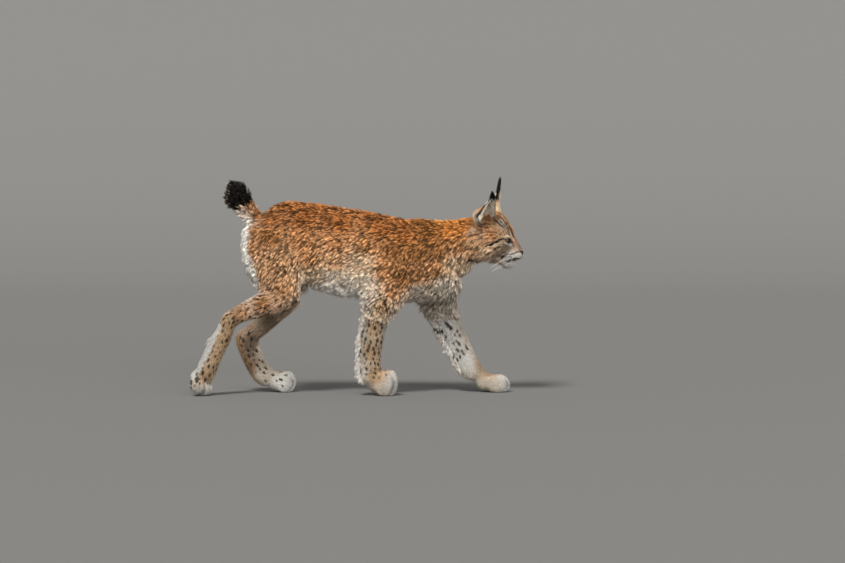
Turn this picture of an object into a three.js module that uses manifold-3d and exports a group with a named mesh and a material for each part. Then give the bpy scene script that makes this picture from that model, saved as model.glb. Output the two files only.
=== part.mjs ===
// A young Eurasian lynx, walking, life size: a still display model, in millimetres, +Z up.
// It walks along +X, with its left side on +Y. The floor is z = 0.
// The solids reach out to the tips of the coat. The body is modelled whole and parted by thin cuts.
import * as THREE from "three";
import { mergeVertices } from "three/addons/utils/BufferGeometryUtils.js";
import Module from "manifold-3d";

const wasm = await Module();
wasm.setup();

// Driving dimensions
const WITHERS_HEIGHT = 394; // top of the shoulders
const RUMP_HEIGHT = 435; // the croup stands higher than the withers
const CHEST_HALF = 60; // half the width of the chest, with its coat
const HIP_HALF = 59;
const HEAD_TURN = 12; // degrees that the face turns to the animal's right
const EYE_RADIUS = 9.5;
const EAR_LENGTH = 62;
const TUFT_LENGTH = 30; // black hairs past the tip of each ear
const GAP = 0.3; // left between two nodes that touch
const INNER_MOST = 4; // below the trunk, a leg's region reaches this near to the middle plane
const LOCK_SUNK = 6; // how far the root of a lock of hair is inside the flesh
const FAR_OUT = 400; // a size that reaches past the whole animal

const RIGHT = -1;
const LEFT = 1;
const UP = new THREE.Vector3(0, 0, 1);

const COLOURS = {
  russet: 0xa8703f,
  sand: 0xb98a5c,
  cream: 0xd9cbb6,
  black: 0x1d1a1a,
  iris: 0x7d6a36,
  nose: 0x7a4a42,
};

const radians = (degrees) => THREE.MathUtils.degToRad(degrees);
const vec = (x, y, z) => new THREE.Vector3(x, y, z);

// Turns a closed three.js geometry into a solid that can be joined and cut.
function solid(geometry) {
  const bare = geometry.clone();
  for (const name of Object.keys(bare.attributes)) {
    if (name !== "position") bare.deleteAttribute(name);
  }
  const merged = mergeVertices(bare, 1e-3);
  return new wasm.Manifold(
    new wasm.Mesh({
      numProp: 3,
      vertProperties: merged.attributes.position.array,
      triVerts: new Uint32Array(merged.index.array),
    }),
  );
}

const join = (...solids) => solids.flat().reduce((all, one) => all.add(one));

// The bare geometry of a solid
function geometryOf(body) {
  const { numProp, vertProperties, triVerts } = body.getMesh();
  const geometry = new THREE.BufferGeometry();
  const corners = [];
  for (let i = 0; i < vertProperties.length; i += numProp) {
    corners.push(vec(...vertProperties.subarray(i, i + 3)));
  }
  geometry.setFromPoints(corners);
  return geometry.setIndex([...triVerts]);
}

// Keeps the largest closed surface of a solid, so that loose scraps and sealed hollows go.
function largest(body) {
  const pieces = body.decompose();
  pieces.sort((a, b) => b.volume() - a.volume());
  return pieces[0];
}

// A smooth curve through the named values of a list of stations, read at t from 0 to 1.
function through(stations) {
  const keys = Object.keys(stations[0]).filter((key) => key !== "place");
  const curve = new THREE.CubicInterpolant(
    stations.map((_, i) => i),
    stations.flatMap((station) => keys.map((key) => station[key])),
    keys.length,
  );
  return (t) => {
    const values = curve.evaluate(t * (stations.length - 1));
    return Object.fromEntries(keys.map((key, i) => [key, values[i]]));
  };
}

// A power of a sine or cosine that keeps its sign. It squares an oval a little.
const squared = (value, power) => Math.sign(value) * Math.abs(value) ** power;

// The point of a cross-section at an angle: 0 is the side, a quarter turn is the top.
function ringPoint(section, angle) {
  const across = squared(Math.cos(angle), section.power);
  const rise = squared(Math.sin(angle), section.power);
  return section.centre
    .clone()
    .addScaledVector(section.side, section.half * across)
    .addScaledVector(section.rise, (rise > 0 ? section.up : section.down) * rise);
}

// A closed skin over cross-sections. Its last pole is in the last section, or at a tip ahead of it.
function skin(sectionAt, ringCount, sideCount, tip = sectionAt(1).centre) {
  const rings = [];
  for (let i = 0; i < ringCount; i++) {
    const section = sectionAt(i / (ringCount - 1));
    const points = [];
    for (let j = 0; j < sideCount; j++) {
      points.push(ringPoint(section, (2 * Math.PI * j) / sideCount));
    }
    rings.push(points);
  }
  const corners = rings.flat();
  const first = corners.push(sectionAt(0).centre) - 1;
  const last = corners.push(tip) - 1;
  const faces = [];
  const corner = (i, j) => i * sideCount + (j % sideCount);
  for (let j = 0; j < sideCount; j++) {
    faces.push(first, corner(0, j + 1), corner(0, j));
    for (let i = 0; i + 1 < ringCount; i++) {
      faces.push(corner(i, j), corner(i, j + 1), corner(i + 1, j + 1));
      faces.push(corner(i, j), corner(i + 1, j + 1), corner(i + 1, j));
    }
    faces.push(last, corner(ringCount - 1, j), corner(ringCount - 1, j + 1));
  }
  const geometry = new THREE.BufferGeometry();
  geometry.setFromPoints(corners);
  geometry.setIndex(faces);
  return geometry;
}

// How full a form is near its two ends, so that it closes in a round cap.
function roundedEnds(t, startShare, endShare) {
  const start = startShare ? Math.min(1, t / startShare) : 1;
  const end = endShare ? Math.min(1, (1 - t) / endShare) : 1;
  const round = (s) => Math.sqrt(Math.max(1 - (1 - s) ** 2, 0.0025));
  return round(start) * round(end);
}

// Cross-sections for a form that runs along X, from stations of its top, bottom and half width.
function alongBody(stations, { power = 0.9, ends = [0.06, 0.06], grow = 0 } = {}) {
  const at = through(stations);
  return (t) => {
    const s = at(t);
    const full = roundedEnds(t, ends[0], ends[1]);
    const middle = s.wide;
    return {
      centre: vec(s.x, s.y ?? 0, middle),
      side: vec(0, 1, 0),
      rise: UP,
      half: s.half * full + grow,
      up: (s.top - middle) * full + grow,
      down: (middle - s.bottom) * full + grow,
      power,
    };
  };
}

// Cross-sections for a limb: its stations are places on its bones, with the half sizes of the
// flesh to the side and to the front.
function alongBones(stations, { power = 1, ends = [0.12, 0.12], turn = 0, grow = 0 } = {}) {
  const at = through(stations);
  const place = (t) => {
    const s = at(t);
    return vec(s.x, s.y, s.z);
  };
  const sideways = vec(Math.sin(radians(turn)), Math.cos(radians(turn)), 0);
  return (t) => {
    const s = at(t);
    const step = 0.01;
    const ahead = place(Math.min(1, t + step)).sub(place(Math.max(0, t - step))).normalize();
    const side = sideways.clone().addScaledVector(ahead, -sideways.dot(ahead)).normalize();
    const full = roundedEnds(t, ends[0], ends[1]);
    const rise = ahead.clone().cross(side);
    return {
      centre: vec(s.x, s.y, s.z),
      side,
      rise,
      half: s.side * full + grow,
      up: s.front * full + grow,
      down: (s.back ?? s.front) * full + grow,
      power,
    };
  };
}

// An egg shape from its three half sizes, turned by pitch (front down), roll and yaw in degrees.
function egg(centre, [length, width, height], options = {}) {
  const { pitch = 0, roll = 0, yaw = 0, sides = 12, rings = 7 } = options;
  const geometry = new THREE.SphereGeometry(1, sides, rings);
  geometry.scale(length, height, width);
  geometry.rotateX(Math.PI / 2);
  const turn = new THREE.Euler(radians(roll), radians(pitch), radians(yaw), "ZYX");
  geometry.applyMatrix4(new THREE.Matrix4().makeRotationFromEuler(turn));
  return geometry.translate(...centre);
}

// The half of space ahead of a point, as a box that reaches past the animal.
function ahead(point, direction, gap = 0) {
  const box = new THREE.BoxGeometry(2 * FAR_OUT, 2 * FAR_OUT, 2 * FAR_OUT);
  const facing = vec(...direction).normalize();
  box.translate(0, 0, FAR_OUT);
  box.applyQuaternion(new THREE.Quaternion().setFromUnitVectors(UP, facing));
  const start = vec(...point).addScaledVector(facing, gap);
  box.translate(start.x, start.y, start.z);
  return solid(box);
}

// A limb's region: its outline seen from the side, from a depth inside the body outwards.
function sideRegion(outline, inner, side, grow = 0) {
  const points = outline.map(([x, z]) => new THREE.Vector2(x, z));
  const middle = points
    .reduce((sum, p) => sum.add(p), new THREE.Vector2())
    .divideScalar(points.length);
  const curve = new THREE.SplineCurve([...points, points[0]]);
  const edge = curve.getPoints(Math.round(1.5 * points.length)).slice(0, -1);
  for (const p of edge) {
    p.add(p.clone().sub(middle).normalize().multiplyScalar(grow));
  }
  const shape = new THREE.Shape(edge);
  const geometry = new THREE.ExtrudeGeometry(shape, { depth: FAR_OUT, bevelEnabled: false });
  geometry.rotateX(Math.PI / 2);
  const start = inner - grow;
  geometry.translate(0, side > 0 ? start + FAR_OUT : -start, 0);
  return solid(geometry);
}

// Trunk: rump to breast. wide is the height at which a section is widest.
const TRUNK = [
  { place: "rump", x: -254, top: 376, wide: 340, bottom: 300, half: 30 },
  { place: "pin bones", x: -240, top: 384, wide: 335, bottom: 282, half: 42 },
  { place: "tail root", x: -212, top: 402, wide: 330, bottom: 262, half: 52 },
  { place: "croup", x: -165, top: RUMP_HEIGHT - 2, wide: 325, bottom: 252, half: HIP_HALF },
  { place: "loin", x: -120, top: RUMP_HEIGHT - 2, wide: 322, bottom: 254, half: HIP_HALF - 1 },
  { place: "flank", x: -72, top: 428, wide: 312, bottom: 237, half: CHEST_HALF - 3 },
  { place: "belly", x: -20, top: 420, wide: 304, bottom: 223, half: CHEST_HALF },
  { place: "ribs", x: 35, top: 411, wide: 300, bottom: 217, half: CHEST_HALF + 1 },
  { place: "girth", x: 85, top: 400, wide: 298, bottom: 211, half: CHEST_HALF + 1 },
  { place: "withers", x: 130, top: WITHERS_HEIGHT - 1, wide: 295, bottom: 209, half: CHEST_HALF - 1 },
  { place: "shoulders", x: 172, top: 386, wide: 288, bottom: 210, half: CHEST_HALF - 4 },
  { place: "breast", x: 212, top: 366, wide: 278, bottom: 214, half: CHEST_HALF - 11 },
  { place: "keel", x: 246, top: 322, wide: 262, bottom: 226, half: CHEST_HALF - 27 },
];

// Neck, in the middle plane, from inside the shoulders to inside the skull
const NECK = [
  { place: "between the shoulders", x: 96, y: 0, z: 312, side: 52, front: 80 },
  { place: "root", x: 150, y: 0, z: 312, side: 54, front: 84 },
  { place: "middle", x: 196, y: 0, z: 322, side: 53, front: 74 },
  { place: "throat", x: 232, y: -1, z: 336, side: 49, front: 61 },
  { place: "nape", x: 268, y: -2, z: 350, side: 45, front: 50 },
  { place: "in the skull", x: 292, y: -4, z: 352, side: 40, front: 40 },
];

// Tail: short, held up, with a full round tip
const TAIL = [
  { place: "in the croup", x: -196, y: 0, z: 362, side: 20, front: 24 },
  { place: "root", x: -222, y: 0, z: 392, side: 20, front: 24 },
  { place: "middle", x: -243, y: 0, z: 418, side: 21, front: 23 },
  { place: "black tip", x: -261, y: 0, z: 445, side: 26, front: 28 },
  { place: "end", x: -271, y: 0, z: 476, side: 16, front: 18 },
];

// Legs. Each is a few overlapping lengths that follow its bones, and ends in a paw.
const HIND_RIGHT = {
  side: RIGHT,
  lengths: [
    [
      { place: "hip", x: -186, y: -30, z: 388, side: 26, front: 48 },
      { place: "haunch", x: -186, y: -38, z: 340, side: 33, front: 66 },
      { place: "thigh", x: -176, y: -42, z: 292, side: 33, front: 70 },
      { place: "above the knee", x: -150, y: -45, z: 250, side: 28, front: 50 },
      { place: "knee", x: -128, y: -46, z: 226, side: 24, front: 32 },
    ],
    [
      { place: "knee", x: -114, y: -46, z: 238, side: 25, front: 31 },
      { place: "calf", x: -156, y: -46, z: 224, side: 26, front: 36 },
      { place: "shank", x: -208, y: -46, z: 202, side: 23, front: 31 },
      { place: "above the hock", x: -254, y: -46, z: 183, side: 20, front: 26 },
      { place: "hock", x: -291, y: -46, z: 168, side: 19, front: 24 },
    ],
    [
      { place: "heel", x: -270, y: -46, z: 196, side: 18, front: 23 },
      { place: "hock", x: -281, y: -46, z: 166, side: 20, front: 25 },
      { place: "cannon", x: -298, y: -46, z: 130, side: 20, front: 25 },
      { place: "low cannon", x: -314, y: -46, z: 96, side: 20, front: 24 },
      { place: "ball", x: -332, y: -46, z: 56, side: 24, front: 24 },
      { place: "toes", x: -343, y: -46, z: 32, side: 24, front: 22 },
    ],
  ],
  paw: { at: [-342, -46, 25], yaw: -28, pitch: 62, length: 27, height: 22, spread: 22 },
  region: [
    [-196, 404], [-140, 392], [-106, 340], [-96, 282], [-84, 236], [-100, 190], [-150, 160],
    [-200, 120], [-260, -40], [-390, -40], [-390, 200], [-300, 262], [-262, 300], [-262, 372],
  ],
  inner: 14,
  clear: 240,
  cuts: [
    { at: [-205, 0, 216], facing: [-0.62, 0, -0.78] },
    { at: [-322, 0, 78], facing: [-0.42, 0, -0.9] },
  ],
};

const HIND_LEFT = {
  side: LEFT,
  lengths: [
    [
      { place: "hip", x: -186, y: 30, z: 388, side: 26, front: 48 },
      { place: "haunch", x: -184, y: 38, z: 340, side: 33, front: 64 },
      { place: "thigh", x: -168, y: 42, z: 290, side: 33, front: 68 },
      { place: "above the knee", x: -146, y: 44, z: 242, side: 28, front: 48 },
      { place: "knee", x: -134, y: 45, z: 212, side: 24, front: 32 },
    ],
    [
      { place: "knee", x: -128, y: 45, z: 220, side: 25, front: 30 },
      { place: "calf", x: -150, y: 45, z: 196, side: 26, front: 36 },
      { place: "shank", x: -186, y: 45, z: 166, side: 23, front: 31 },
      { place: "above the hock", x: -226, y: 45, z: 142, side: 20, front: 27 },
      { place: "hock", x: -256, y: 45, z: 122, side: 19, front: 24 },
    ],
    [
      { place: "heel", x: -248, y: 45, z: 152, side: 17, front: 21 },
      { place: "hock", x: -250, y: 45, z: 124, side: 20, front: 26 },
      { place: "cannon", x: -240, y: 45, z: 96, side: 20, front: 27 },
      { place: "low cannon", x: -226, y: 45, z: 64, side: 20, front: 26 },
      { place: "ball", x: -208, y: 45, z: 36, side: 24, front: 26 },
      { place: "sole", x: -186, y: 45, z: 24, side: 24, front: 22 },
    ],
  ],
  paw: { at: [-166, 45, 24.5], yaw: 6, pitch: 8, length: 27, height: 27, spread: 22 },
  region: [
    [-196, 404], [-140, 392], [-104, 340], [-92, 282], [-76, 236], [-80, 180], [-110, 140],
    [-120, -40], [-300, -40], [-320, 120], [-290, 230], [-262, 300], [-262, 372],
  ],
  inner: 14,
  clear: 240,
  cuts: [
    { at: [-176, 0, 196], facing: [-0.7, 0, -0.72] },
    { at: [-224, 0, 62], facing: [0.5, 0, -0.87] },
  ],
};

const FORE_RIGHT = {
  side: RIGHT,
  lengths: [
    [
      { place: "shoulder blade", x: 104, y: -30, z: 356, side: 26, front: 44 },
      { place: "shoulder", x: 112, y: -38, z: 312, side: 28, front: 58 },
      { place: "upper arm", x: 88, y: -41, z: 262, side: 28, front: 58 },
      { place: "elbow", x: 62, y: -43, z: 208, side: 26, front: 44 },
      { place: "forearm", x: 48, y: -44, z: 168, side: 24, front: 35 },
    ],
    [
      { place: "elbow", x: 62, y: -43, z: 206, side: 25, front: 42 },
      { place: "forearm", x: 44, y: -44, z: 158, side: 24, front: 33 },
      { place: "middle", x: 36, y: -44, z: 116, side: 22, front: 30 },
      { place: "wrist", x: 33, y: -44, z: 78, side: 22, front: 28 },
      { place: "pastern", x: 35, y: -44, z: 46, side: 24, front: 29 },
      { place: "heel", x: 38, y: -44, z: 22, side: 24, front: 26 },
    ],
  ],
  paw: { at: [66, -44, 29.5], yaw: -6, pitch: 8, length: 29, height: 32, spread: 23 },
  region: [
    [96, 388], [140, 372], [170, 318], [176, 262], [168, 206], [130, 150], [120, -40], [-30, -40],
    [-20, 120], [0, 210], [18, 262], [40, 320], [62, 368],
  ],
  inner: 26,
  clear: 206,
  cuts: [
    { at: [60, 0, 196], facing: [-0.3, 0, -0.95] },
    { at: [34, 0, 60], facing: [0.12, 0, -0.99] },
  ],
};

const FORE_LEFT = {
  side: LEFT,
  lengths: [
    [
      { place: "shoulder blade", x: 128, y: 30, z: 352, side: 26, front: 44 },
      { place: "shoulder", x: 168, y: 36, z: 300, side: 28, front: 56 },
      { place: "upper arm", x: 180, y: 38, z: 250, side: 28, front: 50 },
      { place: "elbow", x: 192, y: 40, z: 204, side: 26, front: 41 },
      { place: "forearm", x: 206, y: 41, z: 166, side: 24, front: 36 },
    ],
    [
      { place: "elbow", x: 192, y: 40, z: 206, side: 25, front: 40 },
      { place: "forearm", x: 208, y: 41, z: 158, side: 24, front: 34 },
      { place: "middle", x: 226, y: 41, z: 120, side: 22, front: 31 },
      { place: "wrist", x: 244, y: 42, z: 84, side: 22, front: 29 },
      { place: "pastern", x: 262, y: 42, z: 50, side: 23, front: 27 },
      { place: "heel", x: 278, y: 42, z: 26, side: 23, front: 23 },
    ],
  ],
  paw: { at: [316, 42, 20.5], yaw: 2, pitch: 2, length: 33, height: 22, spread: 23 },
  region: [
    [116, 380], [160, 372], [206, 330], [226, 280], [236, 220], [262, 150], [310, 80], [390, 60],
    [390, -40], [200, -40], [170, 120], [140, 190], [112, 250], [100, 310], [96, 356],
  ],
  inner: 26,
  clear: 206,
  cuts: [
    { at: [194, 0, 198], facing: [0.4, 0, -0.92] },
    { at: [258, 0, 58], facing: [0.64, 0, -0.77] },
  ],
};

const LEGS = {
  hindleg_right: HIND_RIGHT,
  hindleg_left: HIND_LEFT,
  foreleg_right: FORE_RIGHT,
  foreleg_left: FORE_LEFT,
};

// A paw: four toes side by side over a broad sole.
function pawSolid({ at, yaw, pitch, length, height, spread }) {
  const frame = new THREE.Matrix4()
    .makeTranslation(...at)
    .multiply(new THREE.Matrix4().makeRotationZ(radians(yaw)))
    .multiply(new THREE.Matrix4().makeRotationY(radians(pitch)));
  const toes = [-1.5, -0.5, 0.5, 1.5].map((place) => {
    const reach = 6 - 4.5 * place * place;
    const toe = new THREE.SphereGeometry(1, 8, 5);
    toe.scale(length * 0.8, spread * 0.44, height * (1.02 - 0.05 * Math.abs(place)));
    toe.rotateZ(radians(5 * place));
    toe.translate(reach + 4, place * spread * 0.56, -1);
    return solid(toe.applyMatrix4(frame));
  });
  const sole = new THREE.SphereGeometry(1, 9, 6);
  sole.scale(length * 1.05, spread * 1.05, height * 0.82);
  sole.translate(-length * 0.4, 0, -height * 0.12);
  return join(...toes, solid(sole.applyMatrix4(frame)));
}

function legSolid(leg) {
  const lengths = leg.lengths.map((stations) =>
    solid(skin(alongBones(stations, { power: 0.95 }), 9, 10)),
  );
  return join(...lengths, pawSolid(leg.paw));
}

// Head. Its own frame has the middle of the skull as origin, x forward, y left and z up.
const HEAD_FRAME = new THREE.Matrix4()
  .makeTranslation(304, -8, 346.5)
  .multiply(new THREE.Matrix4().makeRotationZ(radians(-HEAD_TURN)));
const inHead = (geometry) => solid(geometry.applyMatrix4(HEAD_FRAME));
const mirrored = (make) => [RIGHT, LEFT].map(make);

const SKULL = [
  { place: "occiput", x: -56, top: 42, wide: 4, bottom: -34, half: 38 },
  { place: "back", x: -36, top: 59, wide: 0, bottom: -46, half: 47 },
  { place: "behind the ears", x: -12, top: 67, wide: -3, bottom: -45, half: 52 },
  { place: "crown", x: 10, top: 68, wide: -7, bottom: -42, half: 49 },
  { place: "forehead", x: 26, top: 58, wide: -10, bottom: -42, half: 42 },
  { place: "brow", x: 37, top: 45, wide: -12, bottom: -46, half: 35 },
  { place: "eyes", x: 46, top: 29, wide: -14, bottom: -48, half: 27 },
  { place: "bridge", x: 55, top: 8, wide: -22, bottom: -47, half: 19 },
  { place: "muzzle", x: 64, top: -7, wide: -28, bottom: -43, half: 14 },
  { place: "nose", x: 71, top: -16, wide: -29, bottom: -38, half: 10 },
];
const BRIDGE = [
  { place: "between the brows", x: 32, y: 0, z: 32, side: 14, front: 15 },
  { place: "between the eyes", x: 42, y: 0, z: 14, side: 12, front: 13 },
  { place: "bridge", x: 52, y: 0, z: -6, side: 10, front: 11.5 },
  { place: "nose", x: 67, y: 0, z: -21, side: 9, front: 9 },
];
const JAW = [
  { place: "angle", x: -14, y: 0, z: -29, side: 34, front: 15 },
  { place: "throat", x: 8, y: 0, z: -33, side: 27, front: 13 },
  { place: "jaw", x: 28, y: 0, z: -42, side: 20, front: 12 },
  { place: "chin", x: 46, y: 0, z: -50, side: 14, front: 10.5 },
  { place: "lip", x: 60, y: 0, z: -49, side: 9, front: 7 },
];
const EYE = { x: 41, y: 22, z: 0.5, outward: 40, slant: 14 };
const CHEEK = { at: [-6, 34, -20], size: [34, 20, 24], yaw: 14 };
const LID = { thick: 2.6, length: 9.2, height: 6.2 };
const NOSE = { x: 71.5, z: -25.5, size: [7, 9.5, 8.5] };
const NOSTRIL = { x: 77.5, y: 4.6, z: -27.5, size: [4, 2.1, 2.4] };

const eyeAt = (side) => [EYE.x, side * EYE.y, EYE.z];
const eyeBall = (side, grow = 0) =>
  inHead(egg(eyeAt(side), Array(3).fill(EYE_RADIUS + grow), { sides: 12, rings: 8 }));

// The almond opening of the lids, a lens ahead of the eye that looks outwards with it
function lidOpening(side) {
  const yaw = side * EYE.outward;
  const reach = EYE_RADIUS + 2;
  const at = [
    EYE.x + reach * Math.cos(radians(EYE.outward)),
    side * (EYE.y + reach * Math.sin(radians(EYE.outward))),
    EYE.z + 0.5,
  ];
  return inHead(egg(at, [9, LID.length, LID.height], { yaw, roll: side * EYE.slant, sides: 16 }));
}

function noseSolid(grow = 0) {
  const size = NOSE.size.map((half) => half + grow);
  return inHead(egg([NOSE.x, 0, NOSE.z], size, { pitch: -12, sides: 14, rings: 8 }));
}

const nostril = (side) =>
  inHead(egg([NOSTRIL.x, side * NOSTRIL.y, NOSTRIL.z], NOSTRIL.size, { yaw: side * 35, sides: 7, rings: 5 }));

// A groove cut along a smooth line through points, a few millimetres deep
function groove(points, width, depth) {
  const path = new THREE.CatmullRomCurve3(points.map((p) => vec(...p)));
  const section = new THREE.Shape([
    new THREE.Vector2(-depth, 0),
    new THREE.Vector2(0, -width / 2),
    new THREE.Vector2(depth, 0),
    new THREE.Vector2(0, width / 2),
  ]);
  return inHead(
    new THREE.ExtrudeGeometry(section, { steps: 9, extrudePath: path, bevelEnabled: false }),
  );
}

const mouthLine = (side) =>
  groove(
    [
      [74, side * -1, -41],
      [66, side * 9, -45.5],
      [54, side * 17.5, -49],
      [42, side * 21, -49],
      [33, side * 24, -45],
    ],
    1.8,
    3,
  );

// The flesh of the head, grown by a little where it has to clear what sits on it
function skullSolid(grow = 0) {
  const skull = inHead(skin(alongBody(SKULL, { power: 0.95, ends: [0.1, 0.06], grow }), 16, 20));
  const bridge = inHead(skin(alongBones(BRIDGE, { grow }), 8, 10));
  const jaw = inHead(skin(alongBones(JAW, { grow, ends: [0.12, 0.2] }), 10, 12));
  const pads = mirrored((side) =>
    inHead(egg([55.5, side * 11, -33.5], [18 + grow, 12.5 + grow, 13 + grow], { sides: 14 })),
  );
  const cheeks = mirrored((side) =>
    inHead(
      egg(
        [CHEEK.at[0], side * CHEEK.at[1], CHEEK.at[2]],
        CHEEK.size.map((half) => half + grow),
        { yaw: side * CHEEK.yaw },
      ),
    ),
  );
  const brows = mirrored((side) =>
    inHead(egg([36, side * 20, 15], [13 + grow, 13 + grow, 8 + grow], { yaw: side * 30, pitch: 30 })),
  );
  return join(skull, bridge, jaw, pads, cheeks, brows);
}

function faceSolid() {
  const lids = mirrored((side) =>
    inHead(egg(eyeAt(side), Array(3).fill(EYE_RADIUS + LID.thick), { sides: 12, rings: 8 })),
  );
  const openings = mirrored((side) => lidOpening(side).add(eyeBall(side, GAP)));
  const lines = mirrored(mouthLine);
  return join(skullSolid(), lids).subtract(join(openings, lines, noseSolid(GAP)));
}

// A sheet with thickness: two grids of points with the same triangles on both, and a rim
function thickSheet(front, back) {
  const rows = front.length;
  const columns = front[0].length;
  const corners = [...front.flat(), ...back.flat()];
  const at = (layer, i, j) => (layer * rows + i) * columns + j;
  const faces = [];
  const quad = (a, b, c, d) => faces.push(a, b, c, a, c, d);
  for (let i = 0; i + 1 < rows; i++) {
    for (let j = 0; j + 1 < columns; j++) {
      quad(at(0, i, j), at(0, i, j + 1), at(0, i + 1, j + 1), at(0, i + 1, j));
      faces.push(at(1, i, j), at(1, i + 1, j + 1), at(1, i, j + 1));
      faces.push(at(1, i, j), at(1, i + 1, j), at(1, i + 1, j + 1));
    }
  }
  for (let i = 0; i + 1 < rows; i++) {
    quad(at(1, i, 0), at(0, i, 0), at(0, i + 1, 0), at(1, i + 1, 0));
    const j = columns - 1;
    quad(at(0, i, j), at(1, i, j), at(1, i + 1, j), at(0, i + 1, j));
  }
  for (let j = 0; j + 1 < columns; j++) {
    quad(at(0, 0, j), at(1, 0, j), at(1, 0, j + 1), at(0, 0, j + 1));
    const i = rows - 1;
    quad(at(1, i, j), at(0, i, j), at(0, i, j + 1), at(1, i, j + 1));
  }
  const geometry = new THREE.BufferGeometry();
  geometry.setFromPoints(corners);
  return geometry.setIndex(faces);
}

// Ears: tilt is away from the middle, and opening is where the cup looks, both in degrees.
const EARS = {
  ear_right: { side: RIGHT, tilt: 36, opening: 62, lean: 8, tuftTilt: 60 },
  ear_left: { side: LEFT, tilt: 15, opening: 25, lean: 3, tuftTilt: 8 },
};
const EAR_ROOT = [9, 33, 36]; // x, y to the side, z: inside the skull
const EAR_SUNK = 14; // how far the ear starts inside the skull
const EAR_HALF = 30; // half the ear's width at its root
const EAR_DEPTH = 19; // how deep its cup is at the root
const EAR_THICK = 3.2;
const EAR_ROWS = 8;
const EAR_COLUMNS = 10;
const EAR_WRAP = 118; // degrees that the cup turns to each side of its back

// The ear's own axes: up its length, out of its opening, and across
function earFrame({ side, tilt, opening, lean, tuftTilt }) {
  const out = vec(Math.cos(radians(opening)), side * Math.sin(radians(opening)), 0);
  const length = vec(
    Math.sin(radians(lean)),
    side * Math.sin(radians(tilt)),
    Math.cos(radians(tilt)),
  ).normalize();
  out.addScaledVector(length, -out.dot(length)).normalize();
  const across = length.clone().cross(out);
  const root = vec(EAR_ROOT[0], side * EAR_ROOT[1], EAR_ROOT[2]);
  const lift = radians(tuftTilt);
  const tuft = vec(0.1, side * Math.sin(lift), Math.cos(lift)).normalize();
  return { root, length, out, across, tuft };
}

function earPoint(frame, u, v, inset) {
  const along = u * (EAR_LENGTH + EAR_SUNK);
  const taper = (1 - u) ** 0.72;
  const half = Math.max(EAR_HALF * taper * (1 + 0.35 * u) - inset, 1.4 - 0.3 * inset);
  const depth = Math.max(EAR_DEPTH * taper - inset, 1.2 - 0.3 * inset);
  const turn = radians(v * EAR_WRAP * (1 - 0.42 * u));
  return frame.root
    .clone()
    .addScaledVector(frame.length, along)
    .addScaledVector(frame.out, depth * (0.15 - Math.cos(turn)) - 3 * u)
    .addScaledVector(frame.across, half * Math.sin(turn));
}

function earSolid(ear) {
  const frame = earFrame(ear);
  const grid = (inset) =>
    Array.from({ length: EAR_ROWS }, (_, i) =>
      Array.from({ length: EAR_COLUMNS }, (_, j) =>
        earPoint(frame, i / (EAR_ROWS - 1), (2 * j) / (EAR_COLUMNS - 1) - 1, inset),
      ),
    );
  return inHead(thickSheet(grid(EAR_THICK), grid(0)));
}

// A seeded draw from -1 to 1
let seed = 7;
function draw() {
  seed = (seed * 16807) % 2147483647;
  return (2 * seed) / 2147483647 - 1;
}

// A flat lock of hair from a root on a surface, with its outward direction. It heads the way the
// coat lies, stands out by lift, bends back to the lie and ends in a point.
function lock({ point, out }, lie, { length, width, thick = 3, lift = 0.3, sag = 0.15 }) {
  const reach = length * (1 + 0.18 * draw());
  const along = vec(...lie).normalize();
  const heading = along.clone().addScaledVector(out, lift + 0.08 * draw()).normalize();
  const side = out.clone().cross(heading).normalize();
  heading.addScaledVector(side, 0.14 * draw()).normalize();
  const rise = heading.clone().cross(side).normalize();
  const root = point.clone().addScaledVector(out, -LOCK_SUNK);
  const full = [0.75, 1, 0.6];
  const middle = (s) =>
    root.clone().addScaledVector(heading, reach * s).addScaledVector(out, -sag * reach * s * s);
  const sectionAt = (t) => {
    const share = full[Math.round(2 * t)];
    const half = { half: (share * width) / 2, up: (share * thick) / 2, down: (share * thick) / 2 };
    return { centre: middle(0.75 * t), side, rise, ...half, power: 1 };
  };
  return skin(sectionAt, 3, 4, middle(1));
}

// A place on a form: t along its sections and an angle in degrees round them
function on(sectionAt, t, angle) {
  const section = sectionAt(t);
  const point = ringPoint(section, radians(angle));
  return { point, out: point.clone().sub(section.centre).normalize() };
}

// Evenly spread numbers from first to last, each moved a little
const spread = (count, first, last, stir = 0.3) =>
  Array.from({ length: count }, (_, i) => {
    const step = (last - first) / Math.max(1, count - 1);
    return first + step * (i + stir * draw());
  });

// The whole flesh in one piece, cut flat at the floor
const floor = ahead([0, 0, 0], [0, 0, 1]);
const TRUNK_SKIN = alongBody(TRUNK);
const NECK_SKIN = alongBones(NECK, { ends: [0.1, 0.1] });
const TAIL_SKIN = alongBones(TAIL, { ends: [0.1, 0.3] });
const trunk = solid(skin(TRUNK_SKIN, 23, 18));
const neck = solid(skin(NECK_SKIN, 10, 18));
const tail = solid(skin(TAIL_SKIN, 12, 10));
const legs = Object.values(LEGS).map(legSolid);
let rest = join(trunk, neck, tail, faceSolid(), legs).intersect(floor);

// Takes the part of the flesh that lies in a region, and leaves a thin cut round it.
const nodes = {};
function part(name, region, grown, colour) {
  nodes[name] = { body: largest(rest.intersect(region)), colour };
  rest = rest.subtract(grown);
}

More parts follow.
